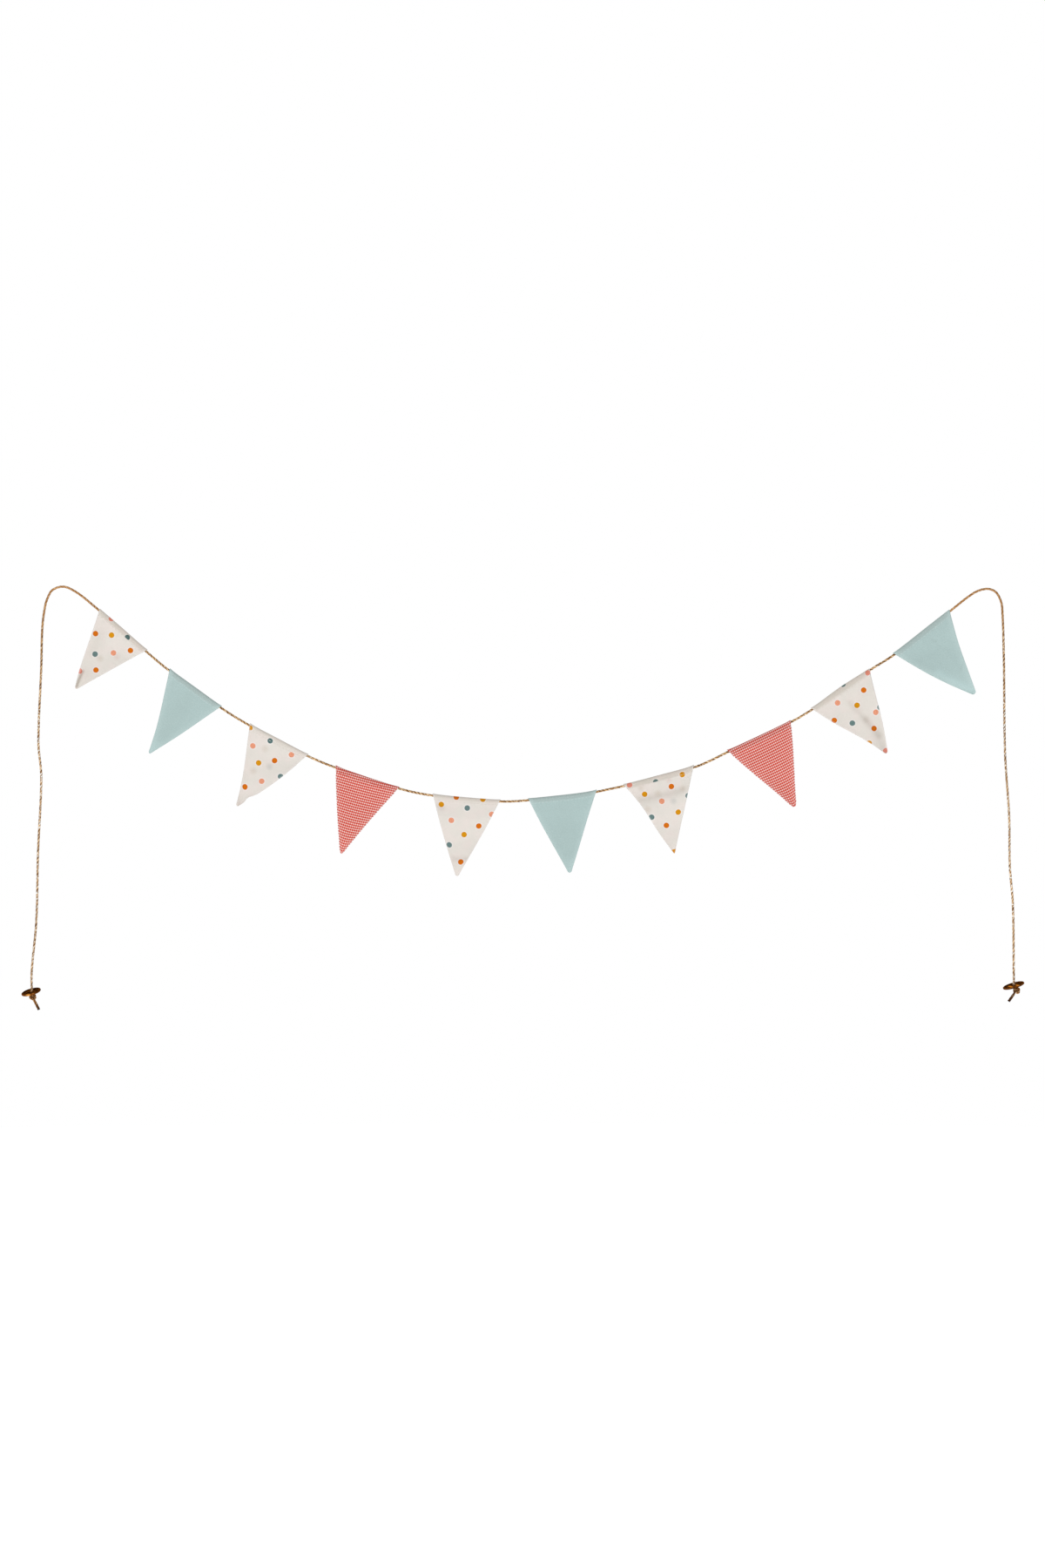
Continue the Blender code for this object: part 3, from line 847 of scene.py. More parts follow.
def casing_loop(radius, hump):
    """Depth and distance behind the cord, from just above the front stitches round to the back ones."""
    start = math.acos(radius / STITCH_DEPTH)
    loop = []
    for k in range(CASING_STEPS + 1):
        turn = start + 2 * (math.pi - start) * k / CASING_STEPS
        lift = hump * max(0.0, -math.cos(turn))
        loop.append(Vector((radius * math.cos(turn) - lift, -radius * math.sin(turn))))
    front, back = Vector((STITCH_DEPTH, -SEAM_APART / 2)), Vector((STITCH_DEPTH, SEAM_APART / 2))
    ramps = [front.lerp(loop[0], share) for share in CASING_RAMP]
    return ramps + loop + [loop[-1].lerp(back, share) for share in CASING_RAMP]


def column_stations(pennant, radius, hump):
    """The stations of one column. The print runs on from leaf to leaf, less what the seam hides."""
    drop = pennant.outline.drop * MM
    depths = [drop + (STITCH_DEPTH - drop) * j / ROWS for j in range(ROWS + 1)]
    front = [Station(d, -1.0, d / MM, True) for d in depths]
    at = (STITCH_DEPTH / MM) - pennant.seam.tuck
    last = Vector((STITCH_DEPTH, -SEAM_APART / 2))
    casing = []
    for place in casing_loop(radius, hump):
        at -= (place - last).length / MM
        last = place
        casing.append(Station(place.x, place.y, at, False))
    at -= pennant.seam.tuck
    back = [Station(d, 1.0, at - (d - STITCH_DEPTH) / MM, True) for d in reversed(depths)]
    return front + casing + back


first = column_stations(PENNANTS[0], (CORD_DIAMETER + CLOTH) / 2, 0.0)
print(len(first), "stations in a column,", round(first[0].print_at - first[-1].print_at, 1), "mm of cloth")

# %% [markdown]
# ## What the cotton carries with it
#
# A finish that follows the cloth needs places measured on the cloth, so each corner of the mesh gets them:
# the UV map "weave" in millimetres along the threads, "shade" for the painted shade of the double cloth of
# the casing, where less light comes through, one more for the painted shade and light along the creases,
# and "edge" for the distance to the nearest cut edge. The dotted cloths also carry their print: each face
# knows the nearest dot, as the UV map "dot" with the place measured from that dot's middle, and the dot's
# ink as a colour. One small material can then draw every dot, round and sharp, however coarse the mesh is.

# %% The print: inks and where the dots lie
INKS = {  # colour and strength
    "orange": ("#DD7200", 1.0),
    "mustard": ("#DF9700", 1.0),
    "salmon": ("#F0A07F", 1.0),
    "coral": ("#F29884", 1.0),
    "teal": ("#6D8786", 1.0),
    "deep_teal": ("#587676", 1.0),
    "faint_pink": ("#E5D0C9", 0.5),  # the back leaf's dots, seen through the cloth
    "faint_tan": ("#D8CABC", 0.45),
    "faint_grey": ("#CBCBC7", 0.5),
}
Dot = namedtuple("Dot", "ink x down")  # mm across from the casing's middle, and down from the cord
PRINTS = {
    1: [
        Dot("coral", -9.2, -2.5), Dot("orange", -10.5, 11.5), Dot("mustard", -3.0, 6.0),
        Dot("deep_teal", 4.8, -0.3), Dot("teal", -3.0, 20.5), Dot("salmon", 4.5, 13.0),
        Dot("orange", 11.0, 5.5), Dot("orange", 3.5, 27.0), Dot("coral", -3.3, 33.9),
        Dot("faint_pink", 7.5, 13.5), Dot("faint_tan", 1.0, 20.5),
    ],
    3: [
        Dot("mustard", -17.7, 0.9), Dot("deep_teal", -4.0, 2.0), Dot("salmon", -11.5, 9.5),
        Dot("salmon", 10.5, 3.5), Dot("mustard", -4.0, 16.5), Dot("orange", 3.5, 11.0),
        Dot("teal", 10.9, 17.8), Dot("salmon", 2.5, 25.0), Dot("orange", -4.5, 32.5),
        Dot("faint_tan", -4.5, 7.5), Dot("faint_grey", 2.5, 15.5), Dot("faint_tan", -4.5, 22.0),
    ],
    5: [
        Dot("orange", -5.8, -0.9), Dot("mustard", 9.5, -0.9), Dot("mustard", -14.0, 4.5),
        Dot("teal", 1.0, 5.0), Dot("salmon", -7.5, 13.0), Dot("salmon", 15.3, 7.8),
        Dot("orange", 8.5, 15.0), Dot("mustard", 0.5, 20.5), Dot("teal", -7.5, 27.5),
        Dot("orange", 0.0, 36.5),
    ],
    7: [
        Dot("coral", -17.5, -1.6), Dot("teal", -2.5, 0.3), Dot("mustard", 13.3, 0.3),
        Dot("mustard", 13.3, 2.1),  # the same dot again: the seam here takes up next to nothing
        Dot("mustard", -10.5, 7.5), Dot("orange", 5.5, 7.0), Dot("salmon", -2.0, 13.8),
        Dot("teal", -10.0, 21.5), Dot("mustard", 5.5, 22.5), Dot("teal", 13.4, 15.0),
        Dot("orange", -3.0, 28.0), Dot("mustard", -2.5, 44.0), Dot("faint_tan", -11.5, 3.5),
        Dot("faint_tan", -3.0, 9.0), Dot("faint_grey", 4.5, 15.5), Dot("faint_tan", -11.0, 16.5),
        Dot("faint_pink", 5.0, 3.0), Dot("faint_tan", 11.5, 10.0),
    ],
    9: [
        Dot("coral", 18.0, 0.5), Dot("teal", 2.5, -2.3), Dot("orange", 10.5, 7.5),
        Dot("salmon", -6.0, 5.0), Dot("mustard", 2.5, 12.5), Dot("salmon", 9.0, 22.0),
        Dot("orange", -13.2, 12.4), Dot("teal", -5.5, 19.5), Dot("orange", 3.0, 29.0),
        Dot("mustard", -4.1, 34.7), Dot("coral", 1.3, 43.4), Dot("teal", 12.6, 21.0),
    ],
}
FOLD_CLEAR = 3.5  # mm: dots this close to the fold aren't repeated on the back
BACK_SHIFT = 4.0  # mm the print has moved on when it comes round to the back


def whole_print(dots, fold_at):
    """The dots of the front, and the same repeat turned over the fold for the back leaf."""
    own = [dot for dot in dots if not dot.ink.startswith("faint") and dot.down > fold_at + FOLD_CLEAR]
    return dots + [Dot(dot.ink, -dot.x, 2 * fold_at - dot.down - BACK_SHIFT) for dot in own]


print(sum(len(dots) for dots in PRINTS.values()), "dots on the fronts")

# %% One pennant's columns
EAR_LENGTH = 1.6  # mm from the casing's open end over which its spread fades
THIN_END = 1.2  # mm over which the casing's shade grows by its whole strength, from a cut edge inwards
THIN_SHADE = 0.3  # share of the casing's shade that is left at the cut edge itself
Cell = namedtuple("Cell", "point x print_at shade edge dull")  # one corner of the mesh, and what it carries


def end_flare(across, width, ear_left, ear_right):
    """How far the casing's open ends are spread, in mm, fading towards the middle."""
    left = ear_left * math.exp(-across * width / EAR_LENGTH)
    right = ear_right * math.exp(-(1 - across) * width / EAR_LENGTH)
    return left + right


def casing_shade(seam, down, from_end):
    """The painted shade of the double cloth of the casing, where less light comes through: less towards its foot, and
    at the thin open ends.
    """
    above_foot = min(1.0, max(0.0, 0.5 + (seam.foot - down) / seam.soft))
    return seam.dark * above_foot * min(1.0, THIN_SHADE + from_end / THIN_END)


def cloth_columns(number, pennant):
    """For each column of the cloth, its cells in the pennant's own frame."""
    outline, seam = pennant.outline, pennant.seam
    into_frame = own_frame(outline).inverted()
    width = outline.right - outline.left
    creases = [crease for crease in CREASES if crease.pennant == number]
    for column in range(COLUMNS + 1):
        across = column / COLUMNS
        here = into_frame @ on_cord(cord_path, (outline.left + width * across) * MM)
        spread = seam.slack + end_flare(across, width, seam.ear_left, seam.ear_right)
        radius = (CORD_DIAMETER + CLOTH) / 2 + spread * MM
        hump = seam.hump * math.sin(math.pi * across) ** 2 * MM
        cells = []
        for station in column_stations(pennant, radius, hump):
            behind = station.behind * leaves_apart(station.depth) / 2 if station.leaf else station.behind
            point = cloth_point(pennant, here, across, station.depth, behind)
            x, down = point.x / MM, station.depth / MM
            # the creases' depth, and the shade painted along them, which is painted light where negative
            pressed, dull = creased(creases, x, down)
            if station.leaf:
                point.y += (pressed + unevenness(number, x, down)) * MM
            edge = min(across, 1 - across) * (width + (outline.tip - width) * down / outline.drop)
            edge = min(edge, outline.drop - down)
            cells.append(Cell(point, x, station.print_at, casing_shade(seam, down, edge), edge, dull))
        yield cells


print("each column carries:", ", ".join(Cell._fields))


# %% One pennant's mesh
def cloth_mesh(name, number, pennant):
    """The cloth as one sheet, in the row's frame, with its UV map and attributes."""
    columns = list(cloth_columns(number, pennant))
    count = len(columns[0])
    cells = [cell for column in columns for cell in column]
    starts = [c * count + k for c in range(COLUMNS) for k in range(count - 1)]
    faces = [(start, start + count, start + count + 1, start + 1) for start in starts]
    place = own_frame(pennant.outline)
    mesh = bpy.data.meshes.new(name)
    mesh.from_pydata([place @ cell.point for cell in cells], [], faces)
    skew = math.tan(math.radians(pennant.seam.skew))
    weave = mesh.uv_layers.new(name="weave")
    for corner in mesh.loops:
        cell = cells[corner.vertex_index]
        weave.data[corner.index].uv = (cell.x, cell.print_at + cell.x * skew)
    for label in ("shade", "edge", "dull"):
        values = mesh.attributes.new(label, "FLOAT", "POINT")
        values.data.foreach_set("value", [getattr(cell, label) for cell in cells])
    if number in PRINTS:
        fold_at = columns[0][count // 2].print_at
        print_dots(mesh, cells, whole_print(PRINTS[number], fold_at))
    mesh.shade_smooth()
    return mesh


def print_dots(mesh, cells, dots):
    """Give each face its nearest dot: the way from the dot's middle in mm, and the ink."""
    mesh.uv_layers.new(name="dot")
    mesh.color_attributes.new("ink", "FLOAT_COLOR", "CORNER")
    from_dot, ink = mesh.uv_layers["dot"], mesh.color_attributes["ink"]  # both exist before either is held
    for face in mesh.polygons:
        spots = [Vector((cells[v].x, cells[v].print_at)) for v in face.vertices]
        middle = sum(spots, Vector((0.0, 0.0))) / len(spots)
        dot = min(dots, key=lambda d: (Vector((d.x, d.down)) - middle).length)
        colour, strength = INKS[dot.ink]
        for corner, spot in zip(face.loop_indices, spots):
            from_dot.data[corner].uv = spot - Vector((dot.x, dot.down))
            ink.data[corner].color = (*linear(colour)[:3], strength)


print("one pennant has", COLUMNS * (len(first) - 1), "faces before it gets its thickness")

# %% [markdown]
# ## Cotton: the finish
#
# All three cloths are thin plain-woven cotton: matt, with an IOR of 1.5 that hardly shows, a roughness near
# 0.9 and a little sheen from loose fibre ends. The blue is piece-dyed, the dots are printed on natural
# white, and the gingham's checks are woven from dyed yarn. They share one body for the threads, the painted
# shade of the casing, the painted shade and light along the creases and the paler, fuzzy cut edge, and each
# adds its own colours. The thread spacing of such cotton is about 0.3 mm, drawn here at 0.5 mm so that it
# shows in the render at all.

# %% Cotton's shared threads
THREAD = 0.5  # mm from thread to thread, drawn coarser than the real 0.3
SLUB_ALONG, SLUB_ACROSS = 0.35, 3.2  # scales of a thick thread's noise, per mm
CREASE_SHADE_TINT = (1.0, 1.08, 1.18)  # what a crease's shadow takes from red, green and blue: light in it is warm


def weave_height(tree, place):
    """The over and under of a plain weave, as a height from 0 to 1, from the place on the cloth in mm."""
    axes = add_node(tree, "ShaderNodeSeparateXYZ", {0: place}).outputs
    waves = []
    for axis in (axes[0], axes[1]):
        turn = feed(tree, "ShaderNodeMath", {0: axis, 1: math.pi / THREAD}, operation="MULTIPLY")
        waves.append(feed(tree, "ShaderNodeMath", {0: turn}, operation="SINE"))
    over = feed(tree, "ShaderNodeMath", {0: waves[0], 1: waves[1]}, operation="MULTIPLY")
    return feed(tree, "ShaderNodeMath", {0: over, 1: 0.5, 2: 0.5}, operation="MULTIPLY_ADD")


def slubs(tree, place):
    """Threads that are a little thicker and thinner along their length, in both directions, from 0 to 1."""
    weft = drawn_noise(tree, place, (SLUB_ALONG, SLUB_ACROSS, 0.0), 1.0)
    warp = drawn_noise(tree, place, (SLUB_ACROSS, SLUB_ALONG, 0.0), 1.0)
    both = feed(tree, "ShaderNodeMath", {0: weft, 1: warp}, operation="ADD")
    return feed(tree, "ShaderNodeMath", {0: both, 1: 0.5}, operation="MULTIPLY")


print("threads every", THREAD, "mm")


# %% Cotton
def cotton(name, paint, casing, edge, edge_strength, edge_reach, mottle):
    """Matt woven cotton. paint(tree, place) gives its own colour; the rest is shared by the three cloths."""
    material, tree, shader = new_material(name)
    place = feed(tree, "ShaderNodeUVMap", uv_map="weave")
    shade = add_node(tree, "ShaderNodeAttribute", attribute_name="shade").outputs["Fac"]
    rim = add_node(tree, "ShaderNodeAttribute", attribute_name="edge").outputs["Fac"]
    dull = add_node(tree, "ShaderNodeAttribute", attribute_name="dull").outputs["Fac"]
    uneven = slubs(tree, place)
    clouds = feed(tree, "ShaderNodeTexNoise", {"Vector": place, "Scale": 0.16, "Detail": 2.0})
    tone = feed(tree, "ShaderNodeMath", {0: uneven, 1: clouds}, operation="ADD")
    mottling = {"Value": tone, "From Min": 0.6, "From Max": 1.4, "To Min": 1 - mottle, "To Max": 1 + mottle}
    light = feed(tree, "ShaderNodeMapRange", mottling)
    own = paint(tree, place)
    varied = feed(tree, "ShaderNodeVectorMath", {0: own, "Scale": light}, operation="SCALE")
    # painted shade of the casing, where the double cloth round the cord lets less light through
    casing_shaded = add_node(
        tree,
        "ShaderNodeMix",
        {0: shade, MIX_A: varied, MIX_B: linear(casing)},
        data_type="RGBA",
        blend_type="MULTIPLY",
    ).outputs[MIX_RESULT]
    # painted shade along the creases, and painted light where it is negative
    shade_taken = feed(tree, "ShaderNodeVectorMath", {0: CREASE_SHADE_TINT, "Scale": dull}, operation="SCALE")
    light_left = feed(tree, "ShaderNodeVectorMath", {0: (1.0, 1.0, 1.0), 1: shade_taken}, operation="SUBTRACT")
    crease_shaded = feed(tree, "ShaderNodeVectorMath", {0: casing_shaded, 1: light_left}, operation="MULTIPLY")
    fading = {"Value": rim, "From Min": 0.2, "From Max": edge_reach, "To Min": edge_strength, "To Max": 0.0}
    at_edge = feed(tree, "ShaderNodeMapRange", fading)
    fuzzy = {0: at_edge, MIX_A: crease_shaded, MIX_B: linear(edge)}
    colour = add_node(tree, "ShaderNodeMix", fuzzy, data_type="RGBA").outputs[MIX_RESULT]
    threads = weave_height(tree, place)
    height = feed(tree, "ShaderNodeMath", {0: uneven, 1: 0.6, 2: threads}, operation="MULTIPLY_ADD")
    bump = feed(tree, "ShaderNodeBump", {"Height": height, "Strength": 0.5, "Distance": 0.06 * MM})
    tree.links.new(colour, shader.inputs["Base Color"])
    tree.links.new(bump, shader.inputs["Normal"])
    shader.inputs["Roughness"].default_value = 0.92
    shader.inputs["Specular IOR Level"].default_value = 0.2
    shader.inputs["Sheen Weight"].default_value = 0.05
    shader.inputs["Sheen Roughness"].default_value = 0.6
    return material


print("the finish", cotton.__name__, "is shared by three cloths")

# %% Printed dots on natural white cotton
DOT_RADIUS = 1.6  # mm
DOT_WANDER = 0.16  # mm that the ink's edge wanders with the threads
DOT_BLUR = 1.8  # mm by which the edge of a dot of strength 0 would be spread, in and out
RING_FROM = DOT_RADIUS + 0.2  # mm: the paler ring where the cloth was left dry
RING_TO = DOT_RADIUS + 0.95
SHARP = 0.9  # the strength of ink from which a dot is on the front leaf and has a ring


def dot_reach(tree, place, blur):
    """How much ink lies at the place, how strong the dry ring is there, and the noise that frays both."""
    from_dot = feed(tree, "ShaderNodeUVMap", uv_map="dot")
    ragged = feed(tree, "ShaderNodeTexNoise", {"Vector": place, "Scale": 2.6, "Detail": 2.0})
    away = add_node(tree, "ShaderNodeVectorMath", {0: from_dot}, operation="LENGTH").outputs["Value"]
    reach = feed(tree, "ShaderNodeMath", {0: ragged, 1: DOT_WANDER, 2: away}, operation="MULTIPLY_ADD")
    inner = feed(tree, "ShaderNodeMath", {0: blur, 1: -DOT_BLUR, 2: DOT_RADIUS}, operation="MULTIPLY_ADD")
    farthest = DOT_RADIUS + DOT_WANDER
    outer = feed(tree, "ShaderNodeMath", {0: blur, 1: DOT_BLUR, 2: farthest}, operation="MULTIPLY_ADD")
    inking = {"Value": reach, "From Min": inner, "From Max": outer, "To Min": 1.0, "To Max": 0.0}
    inked = feed(tree, "ShaderNodeMapRange", inking)
    drying = {"Value": reach, "From Min": RING_FROM, "From Max": RING_TO, "To Min": 0.5, "To Max": 0.0}
    return inked, feed(tree, "ShaderNodeMapRange", drying), ragged


def dotted_paint(tree, place):
    """Off-white cloth with round dots of ink, a little mottled, each with its paler ring."""
    ink = add_node(tree, "ShaderNodeAttribute", attribute_name="ink").outputs
    blur = feed(tree, "ShaderNodeMath", {0: 1.0, 1: ink["Alpha"]}, operation="SUBTRACT")
    inked, ringed, ragged = dot_reach(tree, place, blur)
    sharp = feed(tree, "ShaderNodeMath", {0: ink["Alpha"], 1: SHARP}, operation="GREATER_THAN")
    ring = feed(tree, "ShaderNodeMath", {0: ringed, 1: sharp}, operation="MULTIPLY")
    blotch = feed(tree, "ShaderNodeTexNoise", {"Vector": place, "Scale": 0.11, "Detail": 1.0})
    warm = feed(tree, "ShaderNodeMapRange", {"Value": blotch, "From Min": 0.42, "From Max": 0.6})
    blotched = {0: warm, MIX_A: linear("#E2DDD6"), MIX_B: linear("#E5DDD7")}
    cloth = add_node(tree, "ShaderNodeMix", blotched, data_type="RGBA").outputs[MIX_RESULT]
    dried = {0: ring, MIX_A: cloth, MIX_B: linear("#F0EDEC")}
    dry = add_node(tree, "ShaderNodeMix", dried, data_type="RGBA").outputs[MIX_RESULT]
    soaking = {"Value": ragged, "From Min": 0.35, "From Max": 0.68, "To Min": 0.72, "To Max": 1.12}
    soak = feed(tree, "ShaderNodeMapRange", soaking)
    wet = feed(tree, "ShaderNodeVectorMath", {0: ink["Color"], "Scale": soak}, operation="SCALE")
    amount = feed(tree, "ShaderNodeMath", {0: inked, 1: ink["Alpha"]}, operation="MULTIPLY")
    printed = {0: amount, MIX_A: dry, MIX_B: wet}
    return add_node(tree, "ShaderNodeMix", printed, data_type="RGBA").outputs[MIX_RESULT]


print("dots", 2 * DOT_RADIUS, "mm across")

# %% Piece-dyed blue cotton
BLUES = ((0.28, "#A8C0BE"), (0.5, "#AFC5C4"), (0.72, "#B6CBCA"))


def blue_paint(tree, place):
    """A dusty blue with tiny specks, where single fibres took more or less of the dye."""
    specks = feed(tree, "ShaderNodeTexNoise", {"Vector": place, "Scale": 1.9, "Detail": 1.0})
    return feed(tree, "ShaderNodeValToRGB", {0: specks}, stops=BLUES)


print(len(BLUES), "blues")

# %% Yarn-dyed red gingham
GINGHAM_ACROSS = 1.17  # mm of one red and one white stripe across the casing
GINGHAM_DOWN = 1.46  # and down
WARP_SHARE = 0.49  # the weft covers the warp a little, so its red rows are the stronger ones
REDS = ((0.0, "#F9ECE8"), (WARP_SHARE, "#EBB0A7"), (1.0 - WARP_SHARE, "#E08276"), (1.0, "#C93A2D"))


def gingham_paint(tree, place):
    """Red where red warp crosses red weft, pink where they mix with white, and white where neither is red."""
    axes = add_node(tree, "ShaderNodeSeparateXYZ", {0: place}).outputs
    stripes = []
    for axis, repeat in ((axes[0], GINGHAM_ACROSS), (axes[1], GINGHAM_DOWN)):
        turn = feed(tree, "ShaderNodeMath", {0: axis, 1: 2 * math.pi / repeat}, operation="MULTIPLY")
        wave = feed(tree, "ShaderNodeMath", {0: turn}, operation="SINE")
        stripe = feed(tree, "ShaderNodeMapRange", {"Value": wave, "From Min": -0.80, "From Max": -0.10})
        stripes.append(stripe)
    warp, weft = stripes
    part_warp = feed(tree, "ShaderNodeMath", {0: warp, 1: WARP_SHARE}, operation="MULTIPLY")
    red = feed(
        tree, "ShaderNodeMath", {0: weft, 1: 1.0 - WARP_SHARE, 2: part_warp}, operation="MULTIPLY_ADD"
    )
    return feed(tree, "ShaderNodeValToRGB", {0: red}, stops=REDS)


COTTONS = {  # name, colours of the casing's painted shade and of the cut edge, the edge's strength and reach in mm, and mottle
    "dotted": cotton("printed_cotton", dotted_paint, "#E8E6E2", "#EDE8E5", 0.2, 0.8, 0.025),
    "blue": cotton("dyed_blue_cotton", blue_paint, "#F3EEED", "#BDD2D1", 0.5, 3.0, 0.02),
    "gingham": cotton("gingham_cotton", gingham_paint, "#EAECED", "#EFC9C4", 0.1, 3.0, 0.03),
}
print("cottons:", ", ".join(COTTONS))

# %% [markdown]
# ## Sewing the pennants on
#
# Each sheet gets its thickness from a Solidify modifier, and the result is kept as a plain mesh. The sizes
# of the flat cut come from the same tables: the width at the cord, and the length from the front tip over
# the cord to the back tip.

# %% Pennants
SLOTS = {"dotted": "dotted_cotton", "blue": "blue_cotton", "gingham": "gingham_cotton"}


def add_pennant(number, pennant):
    """One pennant's cloth, as thick as real cotton."""
    name = f"pennant_cloth_{number:02d}"
    obj = new_object(name, cloth_mesh(name, number, pennant))
    obj.data.materials.append(COTTONS[pennant.cloth])
    thick = obj.modifiers.new("thickness", "SOLIDIFY")
    thick.thickness = CLOTH
    thick.offset = 0.0
    return plain_mesh(obj)


cloths = {number: add_pennant(number, pennant) for number, pennant in enumerate(PENNANTS, start=1)}
print("faces of one pennant:", len(cloths[1].data.polygons))

# %% [markdown]
# ## Machine stitches
#
# A lockstitch is a row of short threads that dip into the cloth at each needle hole. Geometry Nodes place
# one small rounded thread at every stitch length along the seam, turned along it, with a slight tilt of its
# own. The thread is the same on the front and on the back.

# %% Geometry Nodes: small pieces along a seam or an edge
THROUGH = (0.0, 1.0, 0.0)  # the way through the cloth, from its front to its back


def lay_along(tree, given, spacing, lean, piece, size, outwards=False):
    """Put the piece at each step of the curve, along it or outwards from it, each with its own lean."""
    points = add_node(
        tree, "GeometryNodeCurveToPoints", {"Curve": given["Geometry"], "Length": spacing}, mode="LENGTH"
    ).outputs
    way = points["Tangent"]
    if outwards:
        way = feed(tree, "ShaderNodeVectorMath", {0: way, 1: THROUGH}, operation="CROSS_PRODUCT")
    level = feed(
        tree, "FunctionNodeAxesToRotation", {0: way, 1: THROUGH}, primary_axis="X", secondary_axis="Y"
    )
    leaning = feed(tree, "FunctionNodeEulerToRotation", {0: lean})
    turned = feed(tree, "FunctionNodeRotateRotation", {0: level, 1: leaning}, rotation_space="LOCAL")
    copies = feed(
        tree,
        "GeometryNodeInstanceOnPoints",
        {"Points": points[0], "Instance": piece, "Rotation": turned, "Scale": size},
    )
    return feed(tree, "GeometryNodeRealizeInstances", {0: copies})


print("pieces stand square to", THROUGH)

# %% Geometry Nodes: stitches along a seam
SPHERE_SEGMENTS = 8
SPHERE_RINGS = 6
STITCH_LEAN = 0.12  # radians, either way

stitching, given = new_tree(
    "stitching", Length="float", Fill="float", Thickness="float", Seed="integer", Material="material"
)
tilt = add_node(
    stitching,
    "FunctionNodeRandomValue",
    {2: -STITCH_LEAN, 3: STITCH_LEAN, "Seed": given["Seed"]},
    data_type="FLOAT",
).outputs[1]
lean = feed(stitching, "ShaderNodeCombineXYZ", {1: tilt})
ball = feed(
    stitching,
    "GeometryNodeMeshUVSphere",
    {"Segments": SPHERE_SEGMENTS, "Rings": SPHERE_RINGS, "Radius": 0.5},
)
laid = feed(stitching, "ShaderNodeMath", {0: given["Length"], 1: given["Fill"]}, operation="MULTIPLY")
size = feed(stitching, "ShaderNodeCombineXYZ", {0: laid, 1: given["Thickness"], 2: given["Thickness"]})
threads = lay_along(stitching, given, given["Length"], lean, ball, size)
smooth = feed(stitching, "GeometryNodeSetShadeSmooth", {"Geometry": threads})
finish_tree(stitching, given, smooth)


# %% Sewing thread
def sewing_thread(name, colour):
    """Spun polyester thread: a little smoother and shinier than the cotton it holds."""
    material, tree, shader = new_material(name)
    place = add_node(tree, "ShaderNodeTexCoord").outputs["Object"]
    fibres = feed(tree, "ShaderNodeTexNoise", {"Vector": place, "Scale": 6.0 / MM, "Detail": 1.0})
    light = feed(tree, "ShaderNodeMapRange", {"Value": fibres, "To Min": 0.85, "To Max": 1.12})
    dyed = {0: linear(colour)[:3], "Scale": light}
    varied = feed(tree, "ShaderNodeVectorMath", dyed, operation="SCALE")
    tree.links.new(varied, shader.inputs["Base Color"])
    shader.inputs["Roughness"].default_value = 0.6
    shader.inputs["Sheen Weight"].default_value = 0.2
    return material


THREADS = {
    "dotted": sewing_thread("natural_thread", "#DAD3CC"),
    "blue": sewing_thread("white_thread", "#C8D6D5"),
    "gingham": sewing_thread("grey_red_thread", "#8E5A52"),
}
print("threads:", ", ".join(thread.name for thread in THREADS.values()))

# %% Stitches
STITCH_LENGTH = 2.05 * MM
STITCH_FILL = 0.72  # share of the stitch length that shows between two needle holes
STITCH_THICKNESS = 0.28 * MM
SEAM_START = 0.015  # share of the casing's width before the first stitch
SEAM_SHARE = 0.97  # share of the width that is stitched


def cloth_line(number, pennant, places, side):
    """A line on the cloth through (across, depth in m) places. side is -1 for the front, 1 for the back."""
    outline = pennant.outline
    width = outline.right - outline.left
    frame_of_cloth = own_frame(outline)
    into_frame = frame_of_cloth.inverted()
    creases = [crease for crease in CREASES if crease.pennant == number]
    line = []
    for across, depth in places:
        here = into_frame @ on_cord(cord_path, (outline.left + width * across) * MM)
        point = cloth_point(pennant, here, across, depth, side * (leaves_apart(depth) + CLOTH) / 2)
        x, down = point.x / MM, depth / MM
        point.y += (creased(creases, x, down)[0] + unevenness(number, x, down)) * MM
        line.append(frame_of_cloth @ point)
    return line


def add_stitches(number, pennant):
    """The thread of one seam, on the front and on the back."""
    seam = [(SEAM_START + SEAM_SHARE * k / COLUMNS, STITCH_DEPTH) for k in range(COLUMNS + 1)]
    lines = [cloth_line(number, pennant, seam, side) for side in (-1, 1)]
    return grow(
        curve_object(f"stitches_{number:02d}", lines),
        stitching,
        Length=STITCH_LENGTH,
        Fill=STITCH_FILL,
        Thickness=STITCH_THICKNESS,
        Seed=number,
        Material=THREADS[pennant.cloth],
    )


stitches = {number: add_stitches(number, pennant) for number, pennant in enumerate(PENNANTS, start=1)}
print("faces of one seam:", len(stitches[1].data.polygons))

# %% [markdown]
# ## Frayed edges of the gingham
#
# The gingham was cut with plain scissors, so single threads have come loose along its edges, mostly the
# thick red weft threads. They are short lines with a tiny section, placed by Geometry Nodes on a short
# stretch of the edge at each red row of the check, pointing outwards with a random lean.

# %% Geometry Nodes: loose threads along an edge
FRAY_LEAN = 0.5  # radians, either way
FRAY_INSIDE = 0.4  # how far a thread starts inside the cloth, as a share of its length
FRAY_SHORTEST = 0.35  # length of the shortest, as a share of the longest
FRAY_SIDES = 4

